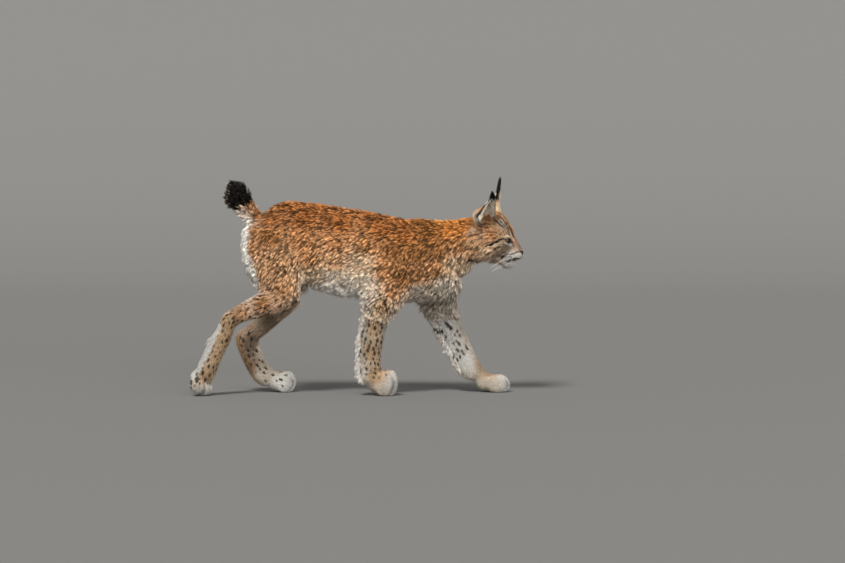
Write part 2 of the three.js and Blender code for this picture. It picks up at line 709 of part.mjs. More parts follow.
for (const [name, leg] of Object.entries(LEGS)) {
  const free = ahead([0, 0, leg.clear], [0, 0, -1]);
  const region = (grow) =>
    sideRegion(leg.region, leg.inner, leg.side, grow).add(
      sideRegion(leg.region, INNER_MOST, leg.side, grow).intersect(free),
    );
  const whole = region(0);
  const grown = region(GAP);
  const side = ahead([0, leg.side * 4, 0], [0, leg.side, 0]);
  const [upper, lower] = leg.cuts;
  const below = (cut, gap) => ahead(cut.at, cut.facing, gap).intersect(side);
  const paw = name.replace("leg", "paw");
  part(paw, below(lower, 0).intersect(whole), below(lower, -GAP).intersect(grown), COLOURS.cream);
  part(
    name + "_lower",
    below(upper, 0).intersect(whole),
    below(upper, -GAP).intersect(grown),
    COLOURS.sand,
  );
  part(name + "_upper", whole, grown, COLOURS.russet);
}

const NAPE = { at: [250, 0, 346], facing: [0.97, -0.02, 0.2] };
const SHOULDERS = { at: [182, 0, 330], facing: [0.86, 0, 0.5] };
const TAIL_ROOT = { at: [-234, 0, 400], facing: [-0.42, 0, 0.9] };
part("head", ahead(NAPE.at, NAPE.facing), ahead(NAPE.at, NAPE.facing, -GAP), COLOURS.sand);
part("neck", ahead(SHOULDERS.at, SHOULDERS.facing), ahead(SHOULDERS.at, SHOULDERS.facing, -GAP), COLOURS.russet);
part("tail", ahead(TAIL_ROOT.at, TAIL_ROOT.facing), ahead(TAIL_ROOT.at, TAIL_ROOT.facing, -GAP), COLOURS.russet);
nodes.torso = { body: largest(rest), colour: COLOURS.russet };

nodes.nose = { body: noseSolid().subtract(join(mirrored(nostril))), colour: COLOURS.nose };
nodes.eye_right = { body: eyeBall(RIGHT), colour: COLOURS.iris };
nodes.eye_left = { body: eyeBall(LEFT), colour: COLOURS.iris };
for (const [name, ear] of Object.entries(EARS)) {
  nodes[name] = { body: largest(earSolid(ear).subtract(skullSolid(GAP))), colour: COLOURS.black };
}

// A body grown by a little, from copies of it that are moved a little each way
const AROUND = [[1, 0, 0], [-1, 0, 0], [0, 1, 0], [0, -1, 0], [0, 0, 1], [0, 0, -1]];
const kept = (body) =>
  join(AROUND.map((way) => solid(geometryOf(body).translate(...way.map((w) => w * 1.5 * GAP)))));
const boxOf = (body) => new THREE.Box3().setFromBufferAttribute(geometryOf(body).attributes.position);

// Locks of hair are fused to the node that they grow from, and kept clear of every other node.
function addLocks(name, locks) {
  let hair = join(locks.map(solid)).intersect(floor);
  const reach = boxOf(hair).expandByScalar(2 * GAP);
  for (const [other, node] of Object.entries(nodes)) {
    if (other === name || !reach.intersectsBox(boxOf(node.body))) continue;
    hair = hair.subtract(kept(node.body));
  }
  nodes[name].body = largest(nodes[name].body.add(hair));
}

// Belly: rows that hang back and down between the hind legs and the forelegs
const belly = [-118, -104, -90, -76, -62].flatMap((angle) =>
  spread(6, 0.425, 0.535).map((t) =>
    lock(on(TRUNK_SKIN, t, angle), [-1, 0, -0.25], { length: 30, width: 15, lift: 0.36, sag: 0.2 }),
  ),
);
// Brisket: between the forelegs and up the front of the breast
const brisket = [-102, -90, -78].flatMap((angle) =>
  spread(5, 0.68, 0.86).map((t) =>
    lock(on(TRUNK_SKIN, t, angle), [-1, 0, -0.2], { length: 26, width: 14, lift: 0.3 }),
  ),
);
const breast = [-150, -120, -90, -60, -30].flatMap((angle) =>
  spread(2, 0.93, 0.98).map((t) =>
    lock(on(TRUNK_SKIN, t, angle), [-0.25, 0, -1], { length: 30, width: 15, lift: 0.3 }),
  ),
);
addLocks("torso", [...belly, ...brisket, ...breast]);

// Throat
const throat = [-130, -105, -80, -55].flatMap((angle) =>
  spread(3, 0.52, 0.72).map((t) =>
    lock(on(NECK_SKIN, t, angle), [-0.5, 0, -1], { length: 30, width: 15, lift: 0.3 }),
  ),
);
addLocks("neck", throat);

// Ruff: round the back and the lower edge of each cheek, longest below the jaw's angle
const ruff = mirrored((side) =>
  spread(8, 165, 290).map((angle) => {
    const out = vec(0.5 * Math.cos(radians(angle)), side * 0.75, 0.6 * Math.sin(radians(angle)));
    const point = vec(...CHEEK.at).add(vec(
      CHEEK.size[0] * 0.8 * Math.cos(radians(angle)),
      CHEEK.size[1] * 0.6,
      CHEEK.size[2] * 0.8 * Math.sin(radians(angle)),
    ));
    point.y *= side;
    const length = 24 + 8 * Math.sin(radians(angle - 150));
    return lock({ point, out: out.normalize() }, [-0.9, side * 0.1, -0.7], { length, width: 12, lift: 0.35 });
  }),
).flat();
addLocks("head", ruff.map((hair) => hair.applyMatrix4(HEAD_FRAME)));

// Ear tufts: black locks that leave the tip together and draw out to one point
for (const [name, ear] of Object.entries(EARS)) {
  const frame = earFrame(ear);
  const tip = earPoint(frame, 0.86, 0, EAR_THICK / 2);
  const tuft = [-1, -0.4, 0.2, 0.8].map((fan, i) => {
    const out = frame.out.clone().multiplyScalar(i % 2 ? 1 : -1).addScaledVector(frame.across, fan);
    const point = tip.clone().addScaledVector(out.normalize(), LOCK_SUNK + 0.8);
    const shape = { length: TUFT_LENGTH + 8, width: 5.5, thick: 3.2, lift: 0.02, sag: 0.02 };
    return lock({ point, out }, frame.tuft.toArray(), shape);
  });
  addLocks(name, tuft.map((hair) => hair.applyMatrix4(HEAD_FRAME)));
}

// Tail brush
const brush = [0.56, 0.74].flatMap((t, row) =>
  spread(8, 22 * row, 22 * row + 315, 0.15).map((angle) =>
    lock(on(TAIL_SKIN, t, angle), [-0.3, 0, 1], { length: 25, width: 18, lift: 0.2, sag: 0.36 }),
  ),
);
addLocks("tail", brush);

// Hair behind each forearm
for (const [name, leg] of [["foreleg_right_lower", FORE_RIGHT], ["foreleg_left_lower", FORE_LEFT]]) {
  const forearm = alongBones(leg.lengths[1]);
  const hair = [-112, -68].flatMap((angle) =>
    spread(4, 0.16, 0.55).map((t) =>
      lock(on(forearm, t, angle), [-0.2, 0, -1], { length: 28, width: 14, lift: 0.16 }),
    ),
  );
  addLocks(name, hair);
}

// Each solid becomes a named mesh with its own material.
function meshOf(name, { body, colour }) {
  const geometry = geometryOf(body);
  const shiny = name.startsWith("eye_");
  const material = new THREE.MeshStandardMaterial({
    color: colour,
    roughness: shiny ? 0.1 : 0.85,
    metalness: 0,
  });
  const mesh = new THREE.Mesh(geometry, material);
  mesh.name = name;
  return mesh;
}

const lynx = new THREE.Group();
for (const [name, node] of Object.entries(nodes)) {
  lynx.add(meshOf(name, node));
}

// The origin is on the floor, under the middle of the whole animal.
const box = new THREE.Box3().setFromObject(lynx);
const centre = box.getCenter(vec(0, 0, 0));
lynx.position.set(-centre.x, -centre.y, -box.min.z);

export default lynx;
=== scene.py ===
import math

import bpy
import numpy as np
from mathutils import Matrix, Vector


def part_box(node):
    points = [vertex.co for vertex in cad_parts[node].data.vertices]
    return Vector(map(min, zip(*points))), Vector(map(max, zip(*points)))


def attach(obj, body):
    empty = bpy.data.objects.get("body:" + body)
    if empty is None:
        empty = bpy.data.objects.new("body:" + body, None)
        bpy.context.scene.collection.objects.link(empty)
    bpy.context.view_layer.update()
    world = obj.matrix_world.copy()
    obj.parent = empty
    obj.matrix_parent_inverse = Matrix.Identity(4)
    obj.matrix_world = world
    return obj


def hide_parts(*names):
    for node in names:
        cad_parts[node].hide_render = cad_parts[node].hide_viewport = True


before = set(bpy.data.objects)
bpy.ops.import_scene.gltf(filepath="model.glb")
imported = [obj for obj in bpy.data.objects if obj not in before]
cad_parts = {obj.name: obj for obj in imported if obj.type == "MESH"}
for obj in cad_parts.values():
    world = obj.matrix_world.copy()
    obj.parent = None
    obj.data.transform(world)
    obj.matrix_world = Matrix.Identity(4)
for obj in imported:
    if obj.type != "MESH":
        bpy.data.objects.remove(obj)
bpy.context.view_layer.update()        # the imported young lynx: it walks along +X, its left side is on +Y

import openvdb
from mathutils import Matrix, Vector, kdtree

draws = np.random.default_rng(11)

# Measures, in the animal's own millimetres, with +Z up and the floor at 0
MM = 0.001
HEAD_TURN = math.radians(12)  # the face turns to the animal's right
HEAD_MIDDLE = np.array([304.0, -8.0, 346.5])
EYE = np.array([41.0, 22.0, 0.5])  # in the head's own axes: ahead, to the side, up
EYE_RADIUS = 9.5
EYE_OUTWARD = math.radians(40)
EYE_SLANT = math.radians(14)
RIGHT, LEFT = -1, 1
SIDES = (RIGHT, LEFT)

turn_cos, turn_sin = math.cos(HEAD_TURN), math.sin(HEAD_TURN)
HEAD_AXES = np.array([[turn_cos, turn_sin, 0], [-turn_sin, turn_cos, 0], [0, 0, 1]])


def from_head(points):
    """Points in the head's axes, given in the animal's."""
    return np.asarray(points, float) @ HEAD_AXES.T + HEAD_MIDDLE


def to_head(points):
    return (np.asarray(points, float) - HEAD_MIDDLE) @ HEAD_AXES


def middle(node):
    low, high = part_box(node)
    return np.array(low + high) / 2


# The animal's own origin in the frame, found from the place between its eyes
SHIFT = (middle("eye_right") + middle("eye_left")) / 2 - from_head(EYE * (1, 0, 1)) * MM


def to_frame(points):
    return np.asarray(points, float) * MM + SHIFT


def from_frame(points):
    return (np.asarray(points, float) - SHIFT) / MM


# Small vector helpers on arrays of points


def unit(vectors):
    size = np.linalg.norm(vectors, axis=-1, keepdims=True)
    return vectors / np.maximum(size, 1e-9)


def dot(a, b):
    return np.sum(a * b, axis=-1)


def smooth(low, high, values):
    """0 below low, 1 above high, and an even curve between."""
    share = np.clip((values - low) / (high - low), 0, 1)
    return share * share * (3 - 2 * share)


def waver(points, size, seed):
    """Soft noise from -1 to 1 whose waves are about size long."""
    ways = np.random.default_rng(seed)
    total = np.zeros(len(points))
    for _ in range(6):
        way = unit(ways.normal(size=3)) * (2 * math.pi / size) * ways.uniform(0.7, 1.4)
        total += np.sin(points @ way + ways.uniform(0, 2 * math.pi))
    return total / 3


def line_distance(points, stops):
    """Distance from each point to a bent line, and how far along it the nearest place is (0 to 1)."""
    stops = np.asarray(stops, float)
    lengths = np.linalg.norm(np.diff(stops, axis=0), axis=1)
    total = lengths.sum()
    best = np.full(len(points), np.inf)
    along = np.zeros(len(points))
    before = 0.0
    for start, end, length in zip(stops[:-1], stops[1:], lengths):
        way = end - start
        share = np.clip((points - start) @ way / max(length * length, 1e-9), 0, 1)
        away = np.linalg.norm(points - start - share[:, None] * way, axis=1)
        nearer = away < best
        best = np.where(nearer, away, best)
        along = np.where(nearer, (before + share * length) / total, along)
        before += length
    return best, along


# Distance fields, for the skin and the small wet parts of the face


def join_soft(a, b, soft):
    """The distance to two forms that melt into each other."""
    share = np.clip(0.5 + 0.5 * (b - a) / soft, 0, 1)
    return b * (1 - share) + a * share - soft * share * (1 - share)


def cut_soft(a, b, soft):
    """The distance to the first form with the second one taken out."""
    return -join_soft(-a, b, soft)


def egg(points, centre, halves):
    """About the distance to an egg shape with these half sizes."""
    away = points - centre
    near = np.linalg.norm(away / halves, axis=1)
    slope = np.linalg.norm(away / np.square(halves), axis=1)
    return near * (near - 1) / np.maximum(slope, 1e-6)


class Block:
    """A box of space cut into cubes, which holds a distance for each."""

    def __init__(self, low, high, cube):
        self.cube = cube
        self.first = np.floor(np.asarray(low) / cube).astype(int)
        self.shape = tuple(np.ceil(np.asarray(high) / cube).astype(int) - self.first + 1)
        self.transform = openvdb.createLinearTransform(voxelSize=cube)

    def distances(self, corners, faces, reach):
        """Distance to a closed surface, correct as far as reach on both sides of it."""
        kind = "triangles" if faces.shape[1] == 3 else "quads"
        grid = openvdb.FloatGrid.createLevelSetFromPolygons(
            corners.astype(np.float32),
            **{kind: faces.astype(np.uint32)},
            transform=self.transform,
            halfWidth=reach / self.cube,
        )
        values = np.empty(self.shape, np.float32)
        grid.copyToArray(values, ijk=tuple(int(i) for i in self.first))
        return values

    def surface(self, values, level=0.0):
        """The quads of the surface where the values pass a level, facing out."""
        grid = openvdb.FloatGrid(float(values.max()))
        grid.transform = self.transform
        grid.copyFromArray(values.astype(np.float32), ijk=tuple(int(i) for i in self.first))
        corners, quads = grid.convertToQuads(isovalue=level)
        return corners.astype(float), quads[:, ::-1].astype(np.int32)

    def places(self):
        """The middle of every cube, one row each."""
        steps = [self.cube * (self.first[i] + np.arange(self.shape[i])) for i in range(3)]
        return np.stack(np.meshgrid(*steps, indexing="ij"), -1).reshape(-1, 3)

    def at(self, values, points):
        """The values between the cubes' middles, at any points."""
        spots = points / self.cube - self.first
        spots = np.clip(spots, 0, np.array(self.shape) - 1.001)
        low = spots.astype(int)
        part = spots - low
        total = 0.0
        for corner in np.ndindex(2, 2, 2):
            share = np.prod(np.where(corner, part, 1 - part), axis=1)
            total = total + share * values[tuple((low + corner).T)]
        return total


def blurred(values, cubes):
    """Values evened out over about this many cubes each way."""
    reach = int(2.5 * cubes) + 1
    steps = np.arange(-reach, reach + 1)
    weights = np.exp(-0.5 * (steps / cubes) ** 2)
    weights = (weights / weights.sum()).astype(np.float32)
    for axis in range(3):
        line = np.moveaxis(values, axis, 0)
        padded = np.concatenate([line[:1]] * reach + [line] + [line[-1:]] * reach)
        total = np.zeros_like(line)
        for i, weight in enumerate(weights):
            total += weight * padded[i : i + len(line)]
        values = np.moveaxis(total, 0, axis)
    return np.ascontiguousarray(values)


# Meshes


def mesh_piece(name, corners, faces, colours=None, patches=None):
    """A new object from arrays in millimetres. faces has 3 or 4 corners a row."""
    mesh = bpy.data.meshes.new(name)
    sides = faces.shape[1]
    mesh.vertices.add(len(corners))
    mesh.vertices.foreach_set("co", to_frame(corners).astype(np.float32).ravel())
    mesh.loops.add(faces.size)
    mesh.loops.foreach_set("vertex_index", faces.astype(np.int32).ravel())
    mesh.polygons.add(len(faces))
    mesh.polygons.foreach_set("loop_start", np.arange(0, faces.size, sides, dtype=np.int32))
    mesh.update(calc_edges=True)
    mesh.shade_smooth()
    if colours is not None:
        set_colours(mesh, colours)
    if patches is not None:
        layer = mesh.uv_layers.new(name="OFBake")
        layer.data.foreach_set("uv", patches[faces.ravel()].astype(np.float32).ravel())
    thing = bpy.data.objects.new(name, mesh)
    bpy.context.scene.collection.objects.link(thing)
    return thing


def set_colours(mesh, colours):
    """Keeps one colour for each corner of the mesh, under the name dye."""
    layer = mesh.color_attributes.new(name="dye", type="FLOAT_COLOR", domain="POINT")
    with_alpha = np.ones((len(colours), 4), np.float32)
    with_alpha[:, :3] = colours
    layer.data.foreach_set("color", with_alpha.ravel())


def corners_of(thing):
    """The corners of an object's mesh, in the animal's millimetres."""
    mesh = thing.data
    flat = np.empty(len(mesh.vertices) * 3, np.float32)
    mesh.vertices.foreach_get("co", flat)
    return from_frame(flat.reshape(-1, 3))


def normals_of(thing):
    flat = np.empty(len(thing.data.vertices) * 3, np.float32)
    thing.data.vertices.foreach_get("normal", flat)
    return flat.reshape(-1, 3).astype(float)


def move_corners(thing, corners):
    thing.data.vertices.foreach_set("co", to_frame(corners).astype(np.float32).ravel())
    thing.data.update()


def triangles_of(thing):
    mesh = thing.data
    mesh.calc_loop_triangles()
    flat = np.empty(len(mesh.loop_triangles) * 3, np.int32)
    mesh.loop_triangles.foreach_get("vertices", flat)
    return flat.reshape(-1, 3)


def alone(thing):
    """Makes an object the only one selected."""
    bpy.ops.object.select_all(action="DESELECT")
    thing.select_set(True)
    bpy.context.view_layer.objects.active = thing


def apply(thing, kind, **settings):
    """Adds a modifier and applies it."""
    alone(thing)
    modifier = thing.modifiers.new(kind.title(), kind)
    for key, value in settings.items():
        setattr(modifier, key, value)
    bpy.ops.object.modifier_apply(modifier=modifier.name)


# Materials


class Socket:
    """An output of a shader node that takes part in sums as a number does."""

    def __init__(self, tree, out):
        self.tree = tree
        self.out = out

    def maths(self, operation, *values, swapped=False):
        pair = [self, *values][::-1] if swapped else [self, *values]
        return self.tree.add("ShaderNodeMath", {"operation": operation}, *pair)

    def __add__(self, other):
        return self.maths("ADD", other)

    def __sub__(self, other):
        return self.maths("SUBTRACT", other)

    def __mul__(self, other):
        return self.maths("MULTIPLY", other)

    def __rsub__(self, other):
        return self.maths("SUBTRACT", other, swapped=True)

    __radd__ = __add__
    __rmul__ = __mul__


class Finish:
    """A material whose nodes are added by short calls."""

    def __init__(self, name):
        self.material = bpy.data.materials.new(name)
        self.material.use_nodes = True
        self.nodes = self.material.node_tree.nodes
        self.links = self.material.node_tree.links
        self.shader = next(n for n in self.nodes if n.type == "BSDF_PRINCIPLED")

    def set(self, socket, value):
        if isinstance(value, Socket):
            self.links.new(value.out, socket)
        else:
            socket.default_value = value

    def add(self, kind, settings, *values, out=0, **named):
        """Adds a node: its settings, its inputs in order or by name, and the output wanted."""
        node = self.nodes.new(kind)
        for key, value in settings.items():
            setattr(node, key, value)
        for socket, value in zip(node.inputs, values):
            self.set(socket, value)
        for key, value in named.items():
            self.set(node.inputs[key.replace("_", " ")], value)
        return Socket(self, node.outputs[out])

    def place(self):
        return self.add("ShaderNodeTexCoord", {}, out="Object")

    def dye(self):
        """The colours that the mesh itself keeps."""
        return self.add("ShaderNodeAttribute", {"attribute_name": "dye"}, out="Color")

    def noise(self, scale, detail):
        return self.add("ShaderNodeTexNoise", {}, Vector=self.place(), Scale=scale, Detail=detail)

    def ramp(self, factor, *stops):
        """A colour from a factor, through (place, colour) stops."""
        node = self.nodes.new("ShaderNodeValToRGB")
        elements = node.color_ramp.elements
        elements.remove(elements[1])
        elements[0].position = stops[0][0]
        for place, _ in stops[1:]:
            elements.new(place)
        for element, (_, colour) in zip(elements, stops):
            element.color = (*colour, 1)
        self.set(node.inputs[0], factor)
        return Socket(self, node.outputs[0])

    def mix(self, factor, first, second, blend="MIX"):
        node = self.nodes.new("ShaderNodeMix")
        node.data_type = "RGBA"
        node.blend_type = blend
        for number, value in ((0, factor), (6, first), (7, second)):
            is_single = isinstance(value, (Socket, float, int))
            self.set(node.inputs[number], value if is_single else (*value, 1))
        return Socket(self, node.outputs[2])

    def bump(self, height, strength, distance):
        return self.add("ShaderNodeBump", {}, Height=height, Strength=strength, Distance=distance)

    def finish(self, **sockets):
        """Sets the shader's sockets and gives the material."""
        for key, value in sockets.items():
            socket = self.shader.inputs[key.replace("_", " ")]
            if socket.type == "RGBA" and isinstance(value, tuple):
                value = (*value, 1)
            self.set(socket, value)
        return self.material


def colour(code):
    """A linear colour from a six-figure hex code."""
    parts = np.array([int(code[i : i + 2], 16) / 255 for i in (0, 2, 4)])
    return np.where(parts <= 0.04045, parts / 12.92, ((parts + 0.055) / 1.055) ** 2.4)


COATS = {
    "russet": colour("a66936"),
    "orange": colour("c6803c"),
    "umbered": colour("8c5c2c"),
    "brown": colour("a16f40"),
    "tan": colour("b98557"),
    "sand": colour("ca9d73"),
    "peach": colour("e0b88d"),
    "beige": colour("dcbd9c"),
    "cream": colour("ecdcc6"),
    "white": colour("f8f3ea"),
    "grey": colour("c4b8a8"),
    "smoked": colour("85725c"),
    "smoke": colour("5e564d"),
    "black": colour("14100d"),
    "umber": colour("2e1c0e"),
    "rose": colour("9a7660"),
    "leather": colour("7d5c4f"),
}


def coat_finish(name, rough):
    """Hair: the dye of each tuft, a little uneven along and between hairs."""
    finish = Finish(name)
    dye = finish.dye()
    streaks = finish.noise(900.0, 2.0)
    bands = finish.ramp(streaks, (0.3, (0.55,) * 3), (0.7, (1.25,) * 3))
    shade = finish.mix(0.35, (1, 1, 1), bands)
    return finish.finish(
        Base_Color=finish.mix(1.0, dye, shade, "MULTIPLY"),
        Roughness=rough + streaks * 0.2,
        Specular_IOR_Level=0.12,
    )


def skin_finish():
    finish = Finish("skin_under_coat")
    dye = finish.dye()
    hairs = finish.noise(700.0, 3.0)
    shade = finish.ramp(hairs, (0.35, (0.5,) * 3), (0.7, (1.0,) * 3))
    return finish.finish(
        Base_Color=finish.mix(1.0, dye, shade, "MULTIPLY"),
        Roughness=0.85,
        Normal=finish.bump(hairs, 0.5, 0.0008),
    )


# The skin: one closed surface inside the flesh, as far under the coat's tips as the coat is deep

FLESH = [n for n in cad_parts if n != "nose" and not n.startswith(("eye_", "ear_"))]
CUBE = 3.15  # the grain of the body's field
JOIN = 0.4  # closes the thin cuts between nodes
DEEPEST = 14.0  # how far inside the solids their distance is read
CALF_FRONT = (-140, 0, 185)  # the front of the far calf, which is cut back along a slope
CALF_AHEAD = (0.69, 0, -0.72)
CALF_MIDDLE = (-175, 185)
TOE_PLACES = (-1.5, -0.5, 0.5, 1.5)
COAT_DEPTH = {
    "torso": 6.5, "neck": 7.0, "head": 3.8, "tail": 6.0, "upper": 5.0, "lower": 3.4, "paw": 2.4,
}
# Rods that keep the thin places of the legs whole: their ends and radius
SINEWS = [
    ([(246, 42, 80), (266, 42, 46), (304, 42, 20)], 16),
    ([(35, -44, 70), (40, -44, 40), (62, -44, 26)], 18),
    ([(-314, -46, 96), (-338, -46, 34)], 16),
    ([(-236, 45, 84), (-214, 45, 42), (-176, 45, 24)], 17),
]
# Paws: middle, turn to the left, toes down (degrees), and the length, height and spread of the toes
PAWS = [
    ((-342, -46, 25), -28, 62, (27, 22, 22)),
    ((-166, 45, 24.5), 6, 8, (27, 27, 22)),
    ((66, -44, 29.5), -6, 8, (29, 32, 23)),
    ((316, 42, 20.5), 2, 2, (33, 22, 23)),
]


def coat_depth(node):
    return next(depth for word, depth in COAT_DEPTH.items() if word in node)


def node_surface(node):
    """The corners and triangles of a node of the solids."""
    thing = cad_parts[node]
    return corners_of(thing), triangles_of(thing)


def whole_surface(nodes, block):
    """The outside of several nodes as one closed surface, with the cuts between them filled."""
    nearest = None
    for node in nodes:
        values = block.distances(*node_surface(node), 3 * block.cube)
        nearest = values if nearest is None else np.minimum(nearest, values)
    return block.surface(nearest, JOIN)


def depth_field(block):
    """How deep the coat is, evened out from node to node."""
    inside = np.zeros(block.shape, np.float32)
    deep = np.zeros(block.shape, np.float32)
    for node in FLESH:
        here = (block.distances(*node_surface(node), 2 * block.cube) < JOIN).astype(np.float32)
        inside += here
        deep += here * coat_depth(node)
    return blurred(deep, 3.0) / np.maximum(blurred(inside, 3.0), 1e-3)


def paw_axes(turn, down):
    """The directions of a paw's length, spread and height, one a row."""
    turn, down = math.radians(turn), math.radians(down)
    level = np.array([math.cos(turn), math.sin(turn), 0])
    length = level * math.cos(down) - (0, 0, math.sin(down))
    spread = np.array([-math.sin(turn), math.cos(turn), 0])
    return np.array([length, spread, np.cross(length, spread)])


def toe_field(points, body):
    """The body's distance with four round toes at the end of each paw."""
    result = body.copy()
    for middle_at, turn, down, (length, height, spread) in PAWS:
        local = (points - middle_at) @ paw_axes(turn, down).T
        near = np.linalg.norm(local, axis=1) < 60
        local = local[near]
        paw = body[near] + 3.2 * smooth(-6, 14, local[:, 0])
        for place in TOE_PLACES:
            centre = np.array([10 - 4.5 * place * place, place * spread * 0.56, -1])
            toe_height = height * (1.02 - 0.05 * abs(place)) - 3
            halves = np.array([length * 0.8 - 3, spread * 0.44 - 1.4, toe_height])
            paw = join_soft(paw, egg(local, centre, halves), 1.6)
        result[near] = paw
    return result


# The mouth: from under the nose to each corner, in the head's axes
MOUTH = [(71, 0, -40), (66, 8, -44), (54, 16, -47.5), (43, 20, -47), (34, 23, -42.5)]
PHILTRUM = [(76.5, 0, -31), (74.5, 0, -36), (71, 0, -41)]
NOSE = np.array([69.0, 0, -25.0])
LID = (9.6, 5.2)  # half the length and half the height of the opening between the lids


def lid_axes(side):
    """Out of the eye, along the lids towards the ear, and across them upwards."""
    out = np.array([math.cos(EYE_OUTWARD), side * math.sin(EYE_OUTWARD), 0])
    back = np.array([-out[1], out[0], 0]) * side
    slant_cos, slant_sin = math.cos(EYE_SLANT), math.sin(EYE_SLANT)
    long_way = back * slant_cos + np.array([0, 0, slant_sin])
    high_way = np.array([0, 0, slant_cos]) - back * slant_sin
    return np.array([out, long_way, high_way])


def lid_opening(points, side, grow=0.0):
    """About the distance to the almond between the lids. It reaches out from the eye's middle."""
    out, along, up = ((points - EYE * (1, side, 1)) @ lid_axes(side).T).T
    half_length, half_height = LID
    up = up + 0.7
    rim = np.abs(up) - half_height * (1 - (along / half_length) ** 2)
    slope = np.hypot(1, 2 * half_height * along / half_length**2)
    return np.maximum(rim / slope - grow, -out)


def fold(points):
    """Points of the left half of the head laid over those of the right."""
    return points * (1, 0, 1) + np.abs(points) * (0, 1, 0)


def face_field(points, shell):
    """The distance to the face's skin, from the distance to the outside of the head's solids."""
    ahead = points[:, 0]
    folded = fold(points)
    from_eye = np.linalg.norm(folded - EYE, axis=1)
    lips, along_lips = line_distance(folded, MOUTH)
    deep = np.clip(1.4 + 0.07 * (66 - ahead), 1.2, 8.5)
    brow = smooth(8, 24, points[:, 2]) * smooth(5, 25, ahead)
    deep = deep * (1 - 0.65 * brow) * (1 - 0.7 * np.exp(-((from_eye / 15) ** 2)))
    deep = deep + 3.0 * np.exp(-((lips / 7) ** 2)) * smooth(20, 40, ahead)
    skin = shell + deep
    pad = egg(folded, np.array([54.5, 9.0, -33.5]), np.array([18.5, 11.5, 11.5]))
    chin = egg(points, np.array([42.5, 0, -52.5]), np.array([13.5, 12, 9.5]))
    inside = egg(points, np.array([42, 0, -46]), np.array([12, 15, 6]))
    jaw, _ = line_distance(folded, [(38, 5, -50), (14, 16, -34)])
    bridge, _ = line_distance(points, [(64, 0, -20), (50, 0, 0)])
    root = egg(points, NOSE - (4.5, 0, 0), np.array([9.5, 9.8, 8.6]))
    skin = join_soft(skin, jaw - 8.0, 8.0)
    skin = join_soft(skin, bridge - 7.5, 5.0)
    skin = join_soft(join_soft(skin, inside, 3.0), chin, 2.5)
    skin = join_soft(join_soft(skin, pad, 1.5), root, 3.0)
    skin = join_soft(skin, from_eye - EYE_RADIUS - 1.5, 3.0)
    for side in SIDES:
        hollow = np.maximum(lid_opening(points, side), -(from_eye - EYE_RADIUS + 1.5))
        skin = cut_soft(skin, hollow, 0.8)
    skin = cut_soft(skin, lips - 0.7 - 0.5 * along_lips, 1.0)
    groove, _ = line_distance(points, PHILTRUM)
    return cut_soft(skin, groove - 0.6, 1.0)


HEAD_CUBE = 1.3  # the grain of the head's field


class Skin:
    """The skin as a field, coarse over the body and fine over the head."""

    def __init__(self):
        everything = [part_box(node) for node in FLESH]
        low = from_frame(np.min([np.array(box[0]) for box in everything], 0)) - 6
        high = from_frame(np.max([np.array(box[1]) for box in everything], 0)) + 6
        self.body = Block(low, high, CUBE)
        outside = self.body.distances(*whole_surface(FLESH, self.body), DEEPEST)
        self.deep = depth_field(self.body)
        low, high = (from_frame(np.array(corner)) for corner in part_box("head"))
        self.head = Block(low - 12, high + 6, HEAD_CUBE)
        head_shell = self.head.distances(*whole_surface(["head", "neck"], self.head), DEEPEST)
        self.shell = blurred(head_shell, 1.6)
        self.rough = blurred(outside, 0.9) + self.deep
        places = self.body.places()
        self.shape_legs(places, blurred(outside, 3.2) + self.deep)
        self.field = self.rough.copy()
        in_head = np.all((places > low - 4) & (places < high + 4), axis=1)
        near = (places[:, 2] < 90) | in_head
        self.field.reshape(-1)[near] = self.value(places[near], self.rough.reshape(-1)[near])

    def shape_legs(self, places, even):
        """Evens out the tops of the legs, keeps their thin places whole and trims the far calf."""
        rough = self.rough.reshape(-1)
        x, y, z = places.T
        joins = 0.85 * smooth(120, 150, z) * smooth(300, 255, z)
        rough += joins * (even.reshape(-1) - rough)
        for stops, radius in SINEWS:
            away, _ = line_distance(places, stops)
            near = away < radius + 12
            rough[near] = join_soft(rough[near], away[near] - radius, 8.0)
        ahead_of_calf = (places - CALF_FRONT) @ np.array(CALF_AHEAD) + 4
        middle_x, middle_z = CALF_MIDDLE
        calf = smooth(4, 14, y) * (np.abs(x - middle_x) < 85) * (np.abs(z - middle_z) < 65)
        rough += calf * (cut_soft(rough, -ahead_of_calf, 10.0) - rough)

    def value(self, points, body=None):
        """The distance to the skin, with the face and the toes."""
        if body is None:
            body = self.body.at(self.rough, points)
        body = toe_field(points, body)
        local = to_head(points)
        share = smooth(-48, -12, local[:, 0]) * smooth(-115, -90, local[:, 2])
        near = share > 0
        face = face_field(local[near], self.head.at(self.shell, points[near]))
        body[near] = body[near] * (1 - share[near]) + share[near] * face
        return body

    def settle(self, points, steps=5):
        """Moves points on to the skin's surface."""
        small = 0.4
        for _ in range(steps):
            value = self.value(points)
            slope = [
                self.value(points + small * way) - self.value(points - small * way)
                for way in np.eye(3)
            ]
            points = points - np.clip(value, -1.2, 1.2)[:, None] * unit(np.stack(slope, 1)) * 0.8
        return points


def select_faces(thing, wanted):
    """Selects faces from a list of yes or no, and nothing else."""
    mesh = thing.data
    for group in (mesh.vertices, mesh.edges):
        group.foreach_set("select", np.zeros(len(group), bool))
    mesh.polygons.foreach_set("select", wanted)


def face_centres(thing):
    """The middle of each face, in the animal's millimetres."""
    flat = np.empty(len(thing.data.polygons) * 3, np.float32)
    thing.data.polygons.foreach_get("center", flat)
    return from_frame(flat.reshape(-1, 3))


